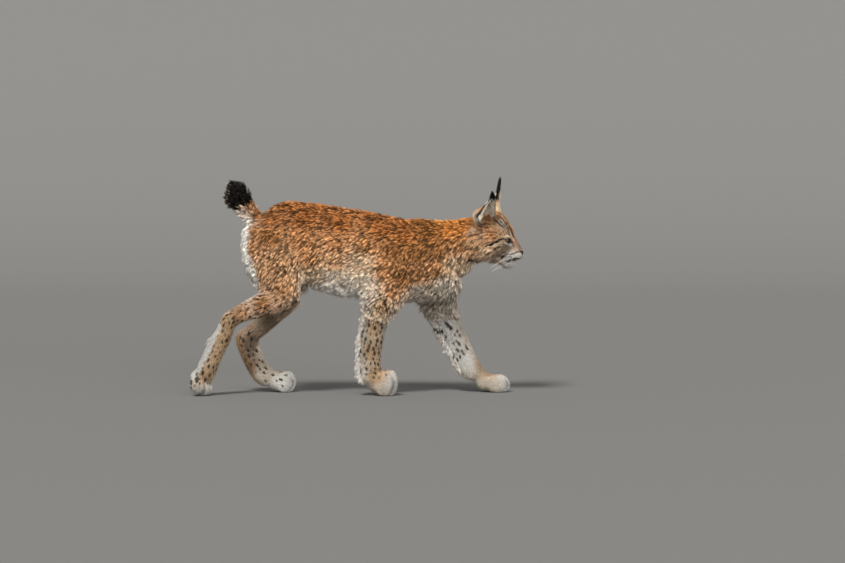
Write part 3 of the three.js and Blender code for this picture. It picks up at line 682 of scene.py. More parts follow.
def refine(thing, wanted):
    """Splits the wanted faces of a mesh in four."""
    select_faces(thing, wanted)
    alone(thing)
    bpy.ops.object.mode_set(mode="EDIT")
    bpy.ops.mesh.select_mode(type="FACE")
    bpy.ops.mesh.subdivide(number_cuts=1)
    bpy.ops.object.mode_set(mode="OBJECT")


def unwrap(thing):
    """Unwraps a mesh by its own shape, as the map that the coat's roots are placed on."""
    alone(thing)
    bpy.ops.object.mode_set(mode="EDIT")
    bpy.ops.mesh.select_all(action="SELECT")
    bpy.ops.mesh.normals_make_consistent(inside=False)
    bpy.ops.uv.smart_project(angle_limit=math.radians(70), island_margin=0.0)
    bpy.ops.object.mode_set(mode="OBJECT")
    thing.data.uv_layers[0].name = "OFBake"


def keep_largest(corners, faces):
    """Drops loose scraps from a mesh in arrays."""
    label = np.arange(len(corners))
    while True:
        lowest = label[faces].min(1)
        new = label.copy()
        np.minimum.at(new, faces.ravel(), np.repeat(lowest, faces.shape[1]))
        new = new[new]
        if np.array_equal(new, label):
            break
        label = new
    main = np.bincount(label).argmax()
    kept = label == main
    number = np.cumsum(kept) - 1
    return corners[kept], number[faces[kept[faces[:, 0]]]]


def from_nearest_eye(points):
    return np.linalg.norm(fold(to_head(points)) - EYE, axis=1)


def in_toes(points):
    """True at the front half of a paw."""
    found = np.zeros(len(points), bool)
    for middle_at, turn, down, (length, _, _) in PAWS:
        local = (points - middle_at) @ paw_axes(turn, down).T
        found |= (np.linalg.norm(local, axis=1) < 1.5 * length) & (local[:, 0] > -8)
    return found


def make_skin(field):
    """The skin's mesh, finest round the eyes and on the muzzle."""
    corners, quads = keep_largest(*field.body.surface(field.field))
    thing = mesh_piece("skin", corners, quads)
    apply(thing, "SMOOTH", factor=0.5, iterations=2)
    centres = face_centres(thing)
    refine(thing, (to_head(centres)[:, 0] > 18) & (centres[:, 2] > 200) | in_toes(centres))
    centres = face_centres(thing)
    muzzle = (to_head(centres)[:, 0] > 46) & (centres[:, 2] > 200)
    refine(thing, muzzle | (from_nearest_eye(centres) < 14))
    corners = corners_of(thing)
    near = (to_head(corners)[:, 0] > -20) & (corners[:, 2] > 200) | in_toes(corners)
    corners[near] = field.settle(corners[near])
    corners[:, 2] = np.maximum(corners[:, 2], 1.0)
    move_corners(thing, corners)
    unwrap(thing)
    return thing


# The lie of the coat: strokes of a comb, each a place, the way the hair points there and its length
# in millimetres. Those of the body, tail and head are on both sides.

BODY_COMB = [
    # (x, to the side, z), (ahead, outward, up), length
    ((-200, 6, 416), (-1, 0.1, -0.5), 15),
    ((-160, 0, 436), (-1, 0, -0.1), 16),
    ((-90, 0, 434), (-1, 0, 0.0), 17),
    ((-20, 0, 422), (-1, 0, 0.05), 17),
    ((50, 0, 408), (-1, 0, 0.05), 17),
    ((120, 0, 396), (-1, 0, 0.05), 16),
    ((170, 0, 392), (-1, 0, 0.0), 16),
    ((220, 0, 394), (-1, 0, 0.05), 15),
    ((260, 0, 398), (-1, 0, 0.0), 13),
    ((-120, 45, 405), (-1, 0.1, -0.45), 17),
    ((-40, 48, 395), (-1, 0.1, -0.45), 18),
    ((40, 48, 385), (-1, 0.1, -0.4), 18),
    ((110, 48, 372), (-1, 0.1, -0.5), 17),
    ((-110, 58, 350), (-0.9, 0, -0.75), 18),
    ((-50, 58, 330), (-0.85, 0, -0.75), 20),
    ((20, 60, 325), (-0.9, 0, -0.65), 20),
    ((70, 62, 325), (-0.85, 0, -0.7), 18),
    ((-90, 52, 280), (-0.6, -0.1, -0.95), 22),
    ((-40, 50, 262), (-0.65, -0.1, -0.85), 26),
    ((20, 48, 250), (-0.75, -0.1, -0.75), 26),
    ((-60, 10, 240), (-1, 0, -0.3), 24),
    ((0, 10, 224), (-1, 0, -0.25), 24),
    ((60, 8, 212), (-1, 0, -0.2), 22),
    ((120, 6, 208), (-1, 0, -0.25), 22),
    ((170, 8, 208), (-0.9, 0, -0.45), 24),
    ((215, 18, 216), (-0.5, 0, -0.9), 26),
    ((245, 12, 270), (-0.2, 0.0, -1), 26),
    ((240, 40, 300), (-0.35, 0.1, -1), 24),
    ((200, 56, 300), (-0.55, 0, -0.9), 21),
    ((150, 60, 340), (-0.75, 0, -0.75), 17),
    ((110, 66, 300), (-0.6, 0, -0.85), 17),
    ((90, 68, 255), (-0.5, 0, -0.9), 17),
    ((230, 48, 345), (-0.7, 0, -0.8), 20),
    ((190, 54, 355), (-0.8, 0, -0.65), 17),
    ((210, 34, 386), (-1, 0.1, -0.35), 15),
    ((255, 10, 300), (-0.35, 0, -1), 26),
    ((262, 36, 330), (-0.5, 0, -0.9), 24),
    ((-180, 50, 400), (-0.9, 0.1, -0.6), 16),
    ((-200, 62, 345), (-0.6, 0, -0.9), 16),
    ((-180, 68, 300), (-0.65, 0, -0.85), 16),
    ((-150, 66, 260), (-0.75, 0, -0.75), 16),
    ((-120, 60, 290), (-0.7, 0, -0.8), 19),
    ((-232, 40, 350), (-0.6, 0.1, -0.9), 15),
    ((-252, 14, 350), (-0.25, 0, -1), 15),
    ((-254, 12, 310), (-0.1, 0, -1), 15),
]
TAIL_COMB = [
    ((-218, 8, 400), (-0.6, 0, 0.8), 13),
    ((-228, 10, 414), (-0.55, 0, 0.85), 13),
    ((-248, 14, 425), (-0.45, 0, 0.9), 16),
    ((-258, 22, 450), (-0.3, 0.1, 1), 18),
    ((-272, 8, 480), (-0.3, 0, 1), 16),
]
# Down the bones of each leg: (x, y, z), length. Each stroke points to the next place.
LEG_COMB = {
    "hindleg_right": [
        ((-150, -70, 270), 15), ((-160, -68, 232), 14), ((-210, -66, 205), 11),
        ((-262, -66, 184), 8), ((-290, -66, 160), 7), ((-300, -66, 128), 7), ((-316, -66, 92), 6.5),
        ((-334, -68, 54), 6.5), ((-344, -68, 24), 6.5), ((-346, -68, 6), 4.5),
    ],
    "hindleg_left": [
        ((-150, 70, 270), 15), ((-146, 70, 215), 12), ((-180, 66, 175), 8),
        ((-226, 66, 142), 7), ((-252, 66, 116), 7), ((-240, 66, 90), 7), ((-222, 66, 56), 6),
        ((-196, 68, 32), 6.5), ((-160, 66, 18), 6.5), ((-140, 60, 14), 4.5),
    ],
    "foreleg_right": [
        ((80, -68, 230), 14), ((62, -68, 196), 10), ((46, -68, 156), 7), ((38, -66, 112), 6.5),
        ((36, -66, 74), 6.5), ((44, -68, 44), 6.5), ((74, -68, 24), 6.5), ((92, -60, 12), 4.5),
    ],
    "foreleg_left": [
        ((184, 68, 236), 14), ((198, 66, 196), 10), ((212, 66, 156), 7.5), ((230, 64, 112), 7),
        ((248, 64, 74), 6.5), ((272, 66, 40), 6.5), ((312, 66, 24), 6.5), ((338, 60, 12), 4.5),
    ],
}
HEAD_COMB = [
    # in the head's axes
    ((74, 0, -14), (-0.6, 0, 0.8), 2.2),
    ((60, 5, 0), (-0.5, 0.1, 0.85), 3),
    ((48, 6, 18), (-0.5, 0.05, 0.85), 7),
    ((36, 8, 45), (-0.7, 0.05, 0.7), 10),
    ((15, 8, 66), (-1, 0, 0.15), 10),
    ((-20, 8, 66), (-1, 0, -0.1), 10),
    ((-45, 10, 50), (-1, 0, -0.3), 12),
    ((50, 15, 6), (-0.3, 0.5, 0.8), 2.4),
    ((40, 26, 14), (-0.5, 0.4, 0.75), 3.5),
    ((28, 34, 14), (-0.95, 0.2, 0.3), 5),
    ((28, 30, 35), (-0.7, 0.2, 0.6), 5.5),
    ((10, 42, 25), (-0.9, 0.1, 0.2), 8),
    ((66, 9, -20), (-0.8, 0.5, 0.1), 2.2),
    ((55, 18, -10), (-0.85, 0.5, -0.1), 3),
    ((44, 27, -10), (-0.9, 0.4, -0.2), 3.6),
    ((62, 16, -34), (-0.8, 0.55, -0.2), 3.4),
    ((48, 24, -30), (-0.9, 0.35, -0.25), 5),
    ((30, 36, -10), (-0.95, 0.2, -0.3), 7),
    ((25, 38, -32), (-0.9, 0.2, -0.5), 10),
    ((5, 48, -5), (-0.95, 0.1, -0.4), 11),
    ((0, 50, -28), (-0.85, 0.15, -0.7), 18),
    ((-20, 50, -10), (-0.9, 0.1, -0.55), 19),
    ((-30, 46, -35), (-0.75, 0.1, -0.85), 24),
    ((-20, 44, 20), (-1, 0.1, -0.2), 13),
    ((-25, 40, 42), (-1, 0.1, -0.2), 12),
    ((20, 32, 46), (-0.4, 0.4, 0.8), 9),
    ((22, 44, 26), (-0.5, 0.5, 0.8), 9),
    ((64, 6, -50), (-0.8, 0.1, -0.6), 3),
    ((52, 10, -60), (-0.9, 0.1, -0.4), 6),
    ((38, 18, -54), (-0.9, 0.2, -0.45), 8),
    ((15, 20, -56), (-0.85, 0.1, -0.6), 12),
    ((0, 20, -56), (-0.8, 0.1, -0.7), 18),
]
# Where the coat stands out further: stops, how far round them, and by how much
LOFTS = [
    ([(-262, 0, 436), (-268, 0, 462)], 30, 7.5),
    ([(-95, 0, 238), (0, 0, 222), (110, 0, 205)], 40, 8),
    ([(110, 0, 205), (190, 0, 208), (240, 0, 250), (258, 0, 300)], 36, 7),
    ([(20, -44, 190), (8, -44, 150), (3, -44, 100), (8, -44, 40)], 15, 8),
    ([(168, 40, 190), (184, 41, 140), (204, 41, 100), (230, 42, 56)], 15, 8),
    ([(-322, -46, 140), (-348, -46, 90)], 13, 4),
    ([(-256, 0, 370), (-250, 0, 320)], 20, 4),
    ([(-238, -20, 285), (-222, -24, 245)], 22, 8),
    ([(-262, 45, 120), (-248, 45, 60)], 13, 3),
]
RUFF = [(0, 50, -24), (-24, 48, -42)]


def spread_weights(points, places, reaches, sharp):
    """How much each place counts at each point: most where it is near."""
    gap = ((points[:, None] - places) ** 2).sum(2)
    weight = 1 / (gap / reaches**2 + 0.2) ** sharp
    return weight / weight.sum(1, keepdims=True)


def in_parts(read, points):
    """Reads a long list of points some thousands at a time."""
    parts = [read(points[start : start + 20000]) for start in range(0, len(points), 20000)]
    return np.concatenate(parts)


class Comb:
    """Reads the way and the length of the coat at any place, from the nearest strokes."""

    def __init__(self):
        strokes = []
        for side in SIDES:
            flip = np.array([1, side, 1])
            for place, way, length in BODY_COMB:
                strokes.append((place * flip, way * flip, length, 26))
            for place, way, length in TAIL_COMB:
                strokes.append((place * flip, way * flip, length, 9))
            for place, way, length in HEAD_COMB:
                strokes.append((from_head(place * flip), HEAD_AXES @ (way * flip), length, 8))
        for stations in LEG_COMB.values():
            for (place, length), (after, _) in zip(stations, stations[1:]):
                for inner in (1, 0.3):
                    here, ahead = (np.array(p, float) * (1, inner, 1) for p in (place, after))
                    strokes.append((here, ahead - here, length, 20))
        self.places = np.array([stroke[0] for stroke in strokes], float)
        ways = unit(np.array([stroke[1] for stroke in strokes], float))
        lengths = np.array([stroke[2] for stroke in strokes], float)
        self.values = np.column_stack([ways, lengths])
        self.reaches = np.array([stroke[3] for stroke in strokes], float)

    def read(self, points):
        """The hair's way and length at points."""
        found = in_parts(
            lambda part: spread_weights(part, self.places, self.reaches, 2.2) @ self.values, points
        )
        return found[:, :3], found[:, 3]


# The dye of the coat: swatches of colour at places, and marks over them

BODY_SWATCHES = [
    ((-200, 0, 412), "brown"), ((-150, 0, 432), "russet"), ((-60, 0, 428), "russet"),
    ((40, 0, 408), "russet"), ((110, 0, 394), "russet"), ((160, 0, 390), "umbered"),
    ((200, 0, 392), "orange"), ((262, 0, 396), "orange"), ((-190, 50, 405), "russet"),
    ((-110, 50, 400), "russet"), ((-30, 50, 390), "russet"), ((60, 50, 378), "russet"),
    ((115, 55, 362), "russet"), ((165, 52, 365), "umbered"), ((210, 45, 372), "orange"),
    ((245, 40, 372), "orange"), ((-190, 64, 360), "brown"), ((-110, 60, 350), "tan"),
    ((-40, 60, 345), "tan"), ((30, 60, 340), "tan"), ((90, 64, 325), "brown"),
    ((140, 62, 320), "brown"), ((190, 56, 330), "brown"), ((235, 48, 335), "tan"),
    ((-95, 58, 305), "tan"), ((-40, 56, 300), "sand"), ((20, 56, 295), "beige"),
    ((70, 64, 285), "tan"), ((110, 66, 265), "brown"), ((150, 60, 270), "tan"),
    ((-90, 50, 272), "beige"), ((-40, 50, 266), "cream"), ((20, 48, 256), "cream"),
    ((-100, 40, 248), "cream"), ((-50, 35, 238), "white"), ((0, 35, 226), "white"),
    ((50, 20, 212), "cream"), ((120, 10, 208), "grey"), ((150, 50, 232), "grey"),
    ((180, 20, 210), "grey"), ((220, 20, 225), "grey"), ((185, 54, 285), "tan"),
    ((205, 45, 250), "grey"), ((225, 46, 290), "beige"), ((244, 10, 270), "grey"),
    ((246, 34, 300), "beige"), ((255, 10, 305), "cream"), ((262, 40, 330), "sand"),
    ((-170, 68, 300), "sand"), ((-225, 52, 380), "tan"), ((-228, 50, 330), "tan"),
    ((-205, 58, 270), "sand"), ((-150, 66, 250), "sand"), ((-258, 6, 370), "white"),
    ((-254, 10, 330), "white"), ((-246, 10, 290), "white"), ((-232, 16, 250), "white"),
]
TAIL_SWATCHES = [
    ((-216, 14, 400), "russet"), ((-222, 0, 414), "brown"), ((-236, 14, 422), "brown"),
    ((-252, 0, 398), "cream"), ((-268, 0, 420), "cream"), ((-250, 22, 436), "brown"),
]
LEG_SWATCHES = {
    "hindleg_right": [
        ((-160, -70, 240), "tan"), ((-205, -68, 210), "tan"), ((-255, -68, 185), "sand"),
        ((-270, -46, 215), "orange"), ((-285, -68, 160), "peach"), ((-298, -68, 125), "peach"),
        ((-324, -46, 130), "cream"), ((-338, -46, 96), "white"), ((-310, -68, 90), "peach"),
        ((-330, -70, 50), "peach"), ((-362, -46, 50), "white"), ((-350, -46, 20), "cream"),
        ((-290, -24, 130), "cream"), ((-200, -24, 200), "sand"), ((-272, -46, 120), "sand"),
        ((-130, -46, 205), "smoked"), ((-190, -46, 170), "smoked"),
    ],
    "hindleg_left": [
        ((-150, 68, 230), "tan"), ((-185, 68, 175), "tan"), ((-230, 68, 140), "tan"),
        ((-160, 24, 200), "smoked"), ((-200, 24, 160), "smoked"), ((-235, 24, 110), "smoked"),
        ((-268, 45, 110), "sand"), ((-212, 45, 90), "cream"), ((-205, 24, 50), "cream"),
        ((-240, 68, 90), "sand"), ((-200, 68, 40), "sand"), ((-165, 45, 45), "cream"),
        ((-145, 45, 30), "white"), ((-170, 24, 20), "white"), ((-236, 45, 60), "sand"),
    ],
    "foreleg_right": [
        ((84, -70, 235), "tan"), ((60, -70, 200), "peach"), ((44, -68, 150), "peach"),
        ((36, -68, 100), "peach"), ((10, -44, 150), "white"), ((6, -44, 100), "white"),
        ((12, -44, 50), "white"), ((78, -44, 150), "cream"), ((66, -44, 100), "beige"),
        ((36, -22, 120), "cream"), ((50, -70, 46), "peach"), ((80, -44, 60), "peach"),
        ((96, -44, 30), "white"), ((60, -66, 8), "cream"), ((74, -66, 26), "cream"),
    ],
    "foreleg_left": [
        ((200, 68, 200), "sand"), ((220, 68, 140), "sand"), ((246, 68, 80), "sand"),
        ((180, 22, 200), "smoked"), ((206, 22, 150), "white"), ((222, 20, 110), "white"),
        ((176, 40, 150), "white"), ((200, 40, 90), "white"), ((246, 20, 70), "white"),
        ((262, 44, 110), "cream"), ((290, 42, 66), "beige"), ((310, 42, 46), "sand"),
        ((344, 42, 30), "white"), ((280, 42, 10), "cream"), ((312, 20, 20), "cream"),
    ],
}
HEAD_SWATCHES = [
    ((66, 0, -14), "rose"), ((55, 3, 2), "brown"), ((46, 0, 20), "brown"), ((36, 0, 42), "tan"),
    ((10, 0, 68), "tan"), ((-25, 0, 66), "tan"), ((-48, 0, 45), "orange"),
    ((30, 22, 36), "grey"), ((8, 38, 30), "sand"), ((30, 36, 10), "sand"), ((14, 44, 12), "tan"),
    ((-12, 50, 12), "beige"), ((-26, 44, 26), "cream"), ((48, 26, -14), "smoked"),
    ((40, 30, -18), "smoked"), ((25, 42, -12), "beige"), ((24, 40, -26), "beige"),
    ((0, 52, -20), "beige"), ((-22, 50, -8), "beige"), ((-30, 48, -35), "cream"),
    ((20, 38, -40), "cream"), ((0, 42, -48), "white"), ((62, 14, -33), "white"),
    ((50, 20, -36), "white"), ((60, 12, -24), "beige"), ((60, 0, -56), "white"),
    ((45, 12, -60), "white"), ((20, 15, -58), "cream"), ((-10, 20, -55), "cream"),
    ((-38, 40, 20), "cream"), ((-22, 38, 44), "grey"), ((-45, 44, -20), "sand"),
    ((-34, 46, 2), "beige"),
]
# Dark and light marks on the head: stops, half width, colour and strength
FACE_MARKS = [
    ([(72, 0, -40), (60, 12, -46), (48, 18.5, -47.5), (38, 22, -45)], 2.6, "black", 1.0),
    ([(52, 17, -46), (44, 20, -46)], 3.6, "black", 1.0),
    ([(38, 33, 5), (28, 38, 1), (16, 44, -5), (2, 50, -14), (-13, 52, -27)], 2.7, "black", 1.0),
    ([(30, 36, -13), (14, 44, -20), (1, 49, -27), (-13, 50, -35)], 2.4, "umber", 1.0),
    ([(24, 38, -30), (8, 44, -38), (-8, 45, -47)], 2.2, "umber", 0.9),
    ([(-8, 52, -27), (-24, 50, -40), (-36, 46, -52)], 4.2, "black", 0.95),
    ([(2, 46, -44), (-14, 46, -56)], 3.4, "black", 0.85),
    ([(10, 44, -2), (-6, 50, -8), (-22, 50, -20)], 2.0, "umber", 0.8),
    ([(33, 36, -3), (20, 43, -10), (8, 48, -18)], 1.8, "cream", 0.7),
    ([(52, 13, -5), (46, 17, -2)], 1.9, "black", 1.0),
    ([(54, 15, -8), (57, 14, -15)], 1.3, "umber", 0.8),
    ([(66, 8, -20), (71, 8, -25), (74, 6, -30)], 1.5, "black", 0.95),
    ([(47, 19, 12), (43, 20, 22), (36, 22, 34)], 2.3, "black", 0.95),
    ([(52, 4, 8), (45, 5, 22), (37, 7, 40), (24, 9, 55), (8, 10, 66)], 2.4, "black", 0.95),
    ([(47, 11, 14), (39, 13, 30), (28, 15, 47), (14, 18, 58)], 2.2, "black", 0.9),
    ([(40, 0, 36), (30, 1, 50), (16, 1, 64)], 1.8, "umber", 0.9),
    ([(33, 25, 26), (22, 28, 40), (8, 28, 50)], 1.7, "umber", 0.9),
    ([(50, 18, 8), (44, 26, 10), (37, 32, 10)], 1.8, "cream", 0.85),
    ([(40, 32, -4), (48, 27, -10), (53, 20, -8)], 1.7, "white", 0.95),
    ([(53, 20, -9), (49, 24, -11)], 2.3, "white", 0.95),
    ([(56, 9, -2), (51, 11, 8), (46, 12, 18)], 1.9, "cream", 0.85),
    ([(66, 8, -30), (57, 15.5, -31), (47, 20.5, -31)], 2.0, "black", 1.0),
    ([(65, 11, -35.5), (58, 15.5, -36)], 1.9, "black", 1.0),
    ([(54, 17.5, -36), (46, 21, -35.5)], 2.0, "black", 1.0),
    ([(60, 14, -40), (54, 17.5, -40.5)], 1.8, "black", 1.0),
    ([(38, 25, -40), (34, 27, -42)], 2.6, "black", 1.0),
]
# Marks of the body and legs seen from the side: lowest and highest y, stops as (x, z), half
# width, colour and strength
SIDE_MARKS = [
    (-75, 75, [(-246, 386), (-246, 322), (-232, 286), (-223, 259), (-227, 236)], 11.5, "white", 1.0),
    (-75, -30, [(-306, 156), (-322, 118), (-342, 82), (-352, 60)], 9.5, "white", 1.0),
    (-80, -46, [(36, 224), (52, 196)], 1.7, "umber", 0.9),
    (-80, -46, [(46, 231), (65, 197)], 1.7, "umber", 0.9),
    (-80, -46, [(58, 231), (74, 199)], 1.7, "umber", 0.9),
    (-80, -46, [(66, 219), (81, 188)], 1.6, "umber", 0.9),
    (-80, -46, [(30, 208), (44, 180)], 1.5, "umber", 0.9),
    (-80, -46, [(86, 214), (90, 192)], 1.5, "umber", 0.8),
    (-10, 44, [(205, 158), (216, 146)], 4.5, "umber", 0.9),
    (-10, 44, [(180, 146), (196, 136)], 3.2, "umber", 0.85),
    (-10, 44, [(200, 214), (202, 208)], 3.0, "umber", 0.8),
    (-10, 44, [(186, 212), (190, 204)], 2.6, "umber", 0.75),
    (-10, 44, [(222, 176), (228, 168)], 2.6, "umber", 0.8),
    (-10, 44, [(228, 118), (236, 108)], 2.4, "umber", 0.8),
    (-10, 44, [(240, 96), (246, 86)], 2.4, "umber", 0.8),
    (10, 70, [(257, 138), (261, 130)], 2.4, "umber", 0.9),
    (10, 70, [(263, 118), (267, 112)], 2.2, "umber", 0.9),
    (10, 70, [(279, 97), (285, 90)], 2.4, "umber", 0.9),
    (10, 70, [(250, 106), (254, 98)], 2.2, "umber", 0.9),
    (-80, 10, [(-358, 72), (-356, 66)], 4.0, "black", 0.9),
    (-80, 10, [(-349, 42), (-351, 34)], 3.4, "black", 0.9),
    (-80, 10, [(-364, 34), (-365, 28)], 3.0, "black", 0.85),
]


def on_skin(stops, skin_points):
    """A bent line of the head, laid on the skin."""
    local = fold(to_head(skin_points))
    stops = np.array(stops, float)
    line = [a + (b - a) * share for a, b in zip(stops, stops[1:]) for share in (0, 0.25, 0.5, 0.75)]
    return [local[((local - place) ** 2).sum(1).argmin()] for place in [*line, stops[-1]]]


class Dye:
    """The colour of the coat at any place."""

    def __init__(self, skin_points, skin_ways):
        swatches = []
        for side in SIDES:
            flip = np.array([1, side, 1])
            swatches += [(place * flip, name, 30) for place, name in BODY_SWATCHES]
            swatches += [(place * flip, name, 9) for place, name in TAIL_SWATCHES]
            swatches += [(from_head(place * flip), name, 8) for place, name in HEAD_SWATCHES]
        for leg in LEG_SWATCHES.values():
            swatches += [(place, name, 15) for place, name in leg]
        self.places = np.array([place for place, _, _ in swatches], float)
        self.colours = np.array([COATS[name] for _, name, _ in swatches])
        self.reaches = np.array([reach for _, _, reach in swatches], float)
        self.spots = Spots(skin_points, skin_ways)
        self.face_marks = [(on_skin(stops, skin_points), *rest) for stops, *rest in FACE_MARKS]

    def read(self, points):
        base = in_parts(
            lambda part: spread_weights(part, self.places, self.reaches, 2.0) @ self.colours, points
        )
        base = base * np.exp(0.07 * waver(points, 46, 31) + 0.05 * waver(points, 19, 32))[:, None]
        base = over(base, "umber", self.spots.strength(points))
        base = over(base, "umber", self.dashes(points))
        base = self.side_marks(points, base)
        base = self.tail_marks(points, base)
        base = self.paw_marks(points, base)
        return self.head_marks(points, base)

    def dashes(self, points):
        """Thin dark dashes along the spine."""
        x, y, z = points.T
        there = smooth(46, 20, np.abs(y)) * smooth(370, 392, z)
        there = there * smooth(190, 120, x) * smooth(-215, -195, x)
        long_waves = waver(points * (0.22, 1, 1), 13, 41)
        return 0.7 * there * smooth(0.25, 0.75, long_waves)

    def side_marks(self, points, base):
        flat = points * (1, 0, 1)
        wobble = 1 + 0.22 * waver(points, 9, 8)
        for low, high, stops, half, name, strength in SIDE_MARKS:
            near = (points[:, 1] > low) & (points[:, 1] < high) & (points[:, 0] < 320)
            away, _ = line_distance(flat[near], [(x, 0, z) for x, z in stops])
            share = smooth(1.25, 0.75, away / half / wobble[near])
            base[near] = over(base[near], name, strength * share)
        return base

    def paw_marks(self, points, base):
        """Pale toes, with painted shade in the creases between them."""
        for middle_at, turn, down, (length, _, spread) in PAWS:
            ahead, across, up = ((points - middle_at) @ paw_axes(turn, down).T).T
            near = (np.hypot(ahead, across) < 50) & (np.abs(up) < 50)
            base = over(base, "white", 0.85 * near * smooth(0.0, 0.7 * length, ahead))
            for place in (-0.56, 0, 0.56):
                gap = np.abs(across - place * spread)
                # painted shade in the creases between the toes
                crease_shade_share = smooth(2.2, 0.8, gap) * smooth(8, 16, ahead) * smooth(16, 4, up)
                base = over(base, "umber", 0.5 * near * crease_shade_share)
        return base

    def tail_marks(self, points, base):
        height = (points - (-243, 0, 418)) @ unit(np.array([-0.42, 0, 0.9]))
        on_tail = (points[:, 0] < -225) & (points[:, 2] > 396)
        return over(base, "black", on_tail * smooth(4, 9, height + 2.0 * waver(points, 8, 3)))

    def head_marks(self, points, base):
        local = to_head(points)
        near = (local[:, 0] > -60) & (points[:, 2] > 200)
        folded = fold(local[near])
        wobble = 1 + 0.3 * waver(local[near], 6, 5)
        here = base[near]
        speckle = smooth(0.3, 0.7, waver(local[near], 7, 6)) * smooth(52, 40, folded[:, 0])
        here = over(here, "umber", 0.7 * speckle * smooth(-45, -30, folded[:, 2]))
        for stops, half, name, strength in self.face_marks:
            away, along = line_distance(folded, stops)
            width = half * wobble * (1 - 0.5 * np.abs(2 * along - 1) ** 3)
            here = over(here, name, strength * smooth(1.25, 0.75, away / width))
        base[near] = here
        return base


def over(base, name, share):
    """A colour laid over others by a share."""
    return base + np.asarray(share)[:, None] * (COATS[name] - base)


class Spots:
    """Small dark spots of the legs, each longer along the lie of the hair."""

    GAP = 9.5  # the least distance between two spots
    HALVES = (4.8, 2.9)  # half a spot's length and width

    def __init__(self, points, ways):
        weight = self.wanted(points)
        picks = draws.permutation(np.nonzero(draws.random(len(points)) < weight)[0])
        chosen = []
        cells = {}
        for i in picks:
            key = tuple((points[i] // self.GAP).astype(int))
            close = any(
                np.linalg.norm(points[i] - points[other]) < self.GAP
                for step in np.ndindex(3, 3, 3)
                for other in cells.get(tuple(np.add(key, step) - 1), ())
            )
            if not close:
                cells.setdefault(key, []).append(i)
                chosen.append(i)
        self.places, self.ways = points[chosen], unit(ways[chosen])
        self.sizes = draws.uniform(0.65, 1.25, len(chosen))
        self.dark = draws.uniform(0.85, 1.0, len(chosen))
        self.tree = kdtree.KDTree(len(chosen))
        for i, place in enumerate(self.places):
            self.tree.insert(place, i)
        self.tree.balance()

    @staticmethod
    def wanted(points):
        """How spotted the coat is: the legs below the body, and a little on the haunch."""
        x, y, z = points.T
        fore = smooth(225, 195, z) * smooth(34, 62, z) * (x > 0) * (to_head(points)[:, 0] < -70)
        hind = smooth(215, 180, z) * smooth(34, 62, z) * (x < 0)
        haunch = 0.12 * smooth(330, 260, z) * smooth(-110, -150, x)
        outside = smooth(40, 52, np.abs(y))
        inside = 0.35 * smooth(36, 28, np.abs(y)) * smooth(150, 120, z)
        legs = np.maximum(0.6 * np.maximum(fore, 0.6 * hind), haunch)
        return np.clip(legs * np.maximum(outside, inside), 0, 1)

    def strength(self, points):
        result = np.zeros(len(points))
        low = np.nonzero(self.wanted(points) > 0.01)[0]
        nearest = np.array([self.tree.find(points[i])[1] for i in low])
        away = points[low] - self.places[nearest]
        along = dot(away, self.ways[nearest])
        across = np.sqrt(np.maximum(dot(away, away) - along**2, 0))
        size = self.sizes[nearest]
        half_length, half_width = self.HALVES
        reach = np.hypot(along / (half_length * size), across / (half_width * size))
        result[low] = self.dark[nearest] * smooth(1.2, 0.75, reach)
        return result


# The coat


class Roots:
    """Where tufts grow: places, the way out of the skin, and places on its unwrap."""

    def __init__(self, thing, density_at):
        mesh = thing.data
        tris = triangles_of(thing)
        loops = np.empty(len(mesh.loop_triangles) * 3, np.int32)
        mesh.loop_triangles.foreach_get("loops", loops)
        flat = np.empty(len(mesh.loops) * 2, np.float32)
        mesh.uv_layers["OFBake"].data.foreach_get("uv", flat)
        corners, outs = corners_of(thing), normals_of(thing)
        a, b, c = (corners[tris[:, i]] for i in range(3))
        area = 0.5 * np.linalg.norm(np.cross(b - a, c - a), axis=1)
        wanted = area * density_at((a + b + c) / 3)
        count = np.floor(wanted + draws.random(len(wanted))).astype(int)
        which = np.repeat(np.arange(len(tris)), count)
        u, v = draws.random((2, len(which)))
        outside = u + v > 1
        u, v = np.where(outside, 1 - u, u), np.where(outside, 1 - v, v)
        self.shares = np.stack([1 - u - v, u, v], 1)
        self.tris = tris[which]
        self.places = self.between(corners)
        self.outs = unit(self.between(outs))
        patches = flat.reshape(-1, 2)[loops.reshape(-1, 3)[which]]
        self.patches = (self.shares[:, :, None] * patches).sum(1)

    def between(self, values):
        """Values at the mesh's corners, read at the roots."""
        shares = self.shares if values.ndim == 1 else self.shares[:, :, None]
        return (shares * values[self.tris]).sum(1)

    def keep(self, wanted):
        self.shares, self.tris = self.shares[wanted], self.tris[wanted]
        self.places, self.outs = self.places[wanted], self.outs[wanted]
        self.patches = self.patches[wanted]


PATCH = 0.003  # how much of the unwrap one tuft has
BLADE = ((1, 0), (-1, 0), (0, 0.8))  # a blade's section: half widths across and up


def tuft_template(rings):
    """The triangles of one tuft: a three-sided blade of some rings and a tip, closed at the root."""
    faces = [(0, 2, 1)]
    for ring in range(rings - 1):
        for k in range(3):
            a, b = 3 * ring + k, 3 * ring + (k + 1) % 3
            faces += [(a, b, b + 3), (a, b + 3, a + 3)]
    tip = 3 * rings
    faces += [(tip - 3 + k, tip - 3 + (k + 1) % 3, tip) for k in range(3)]
    return np.array(faces)


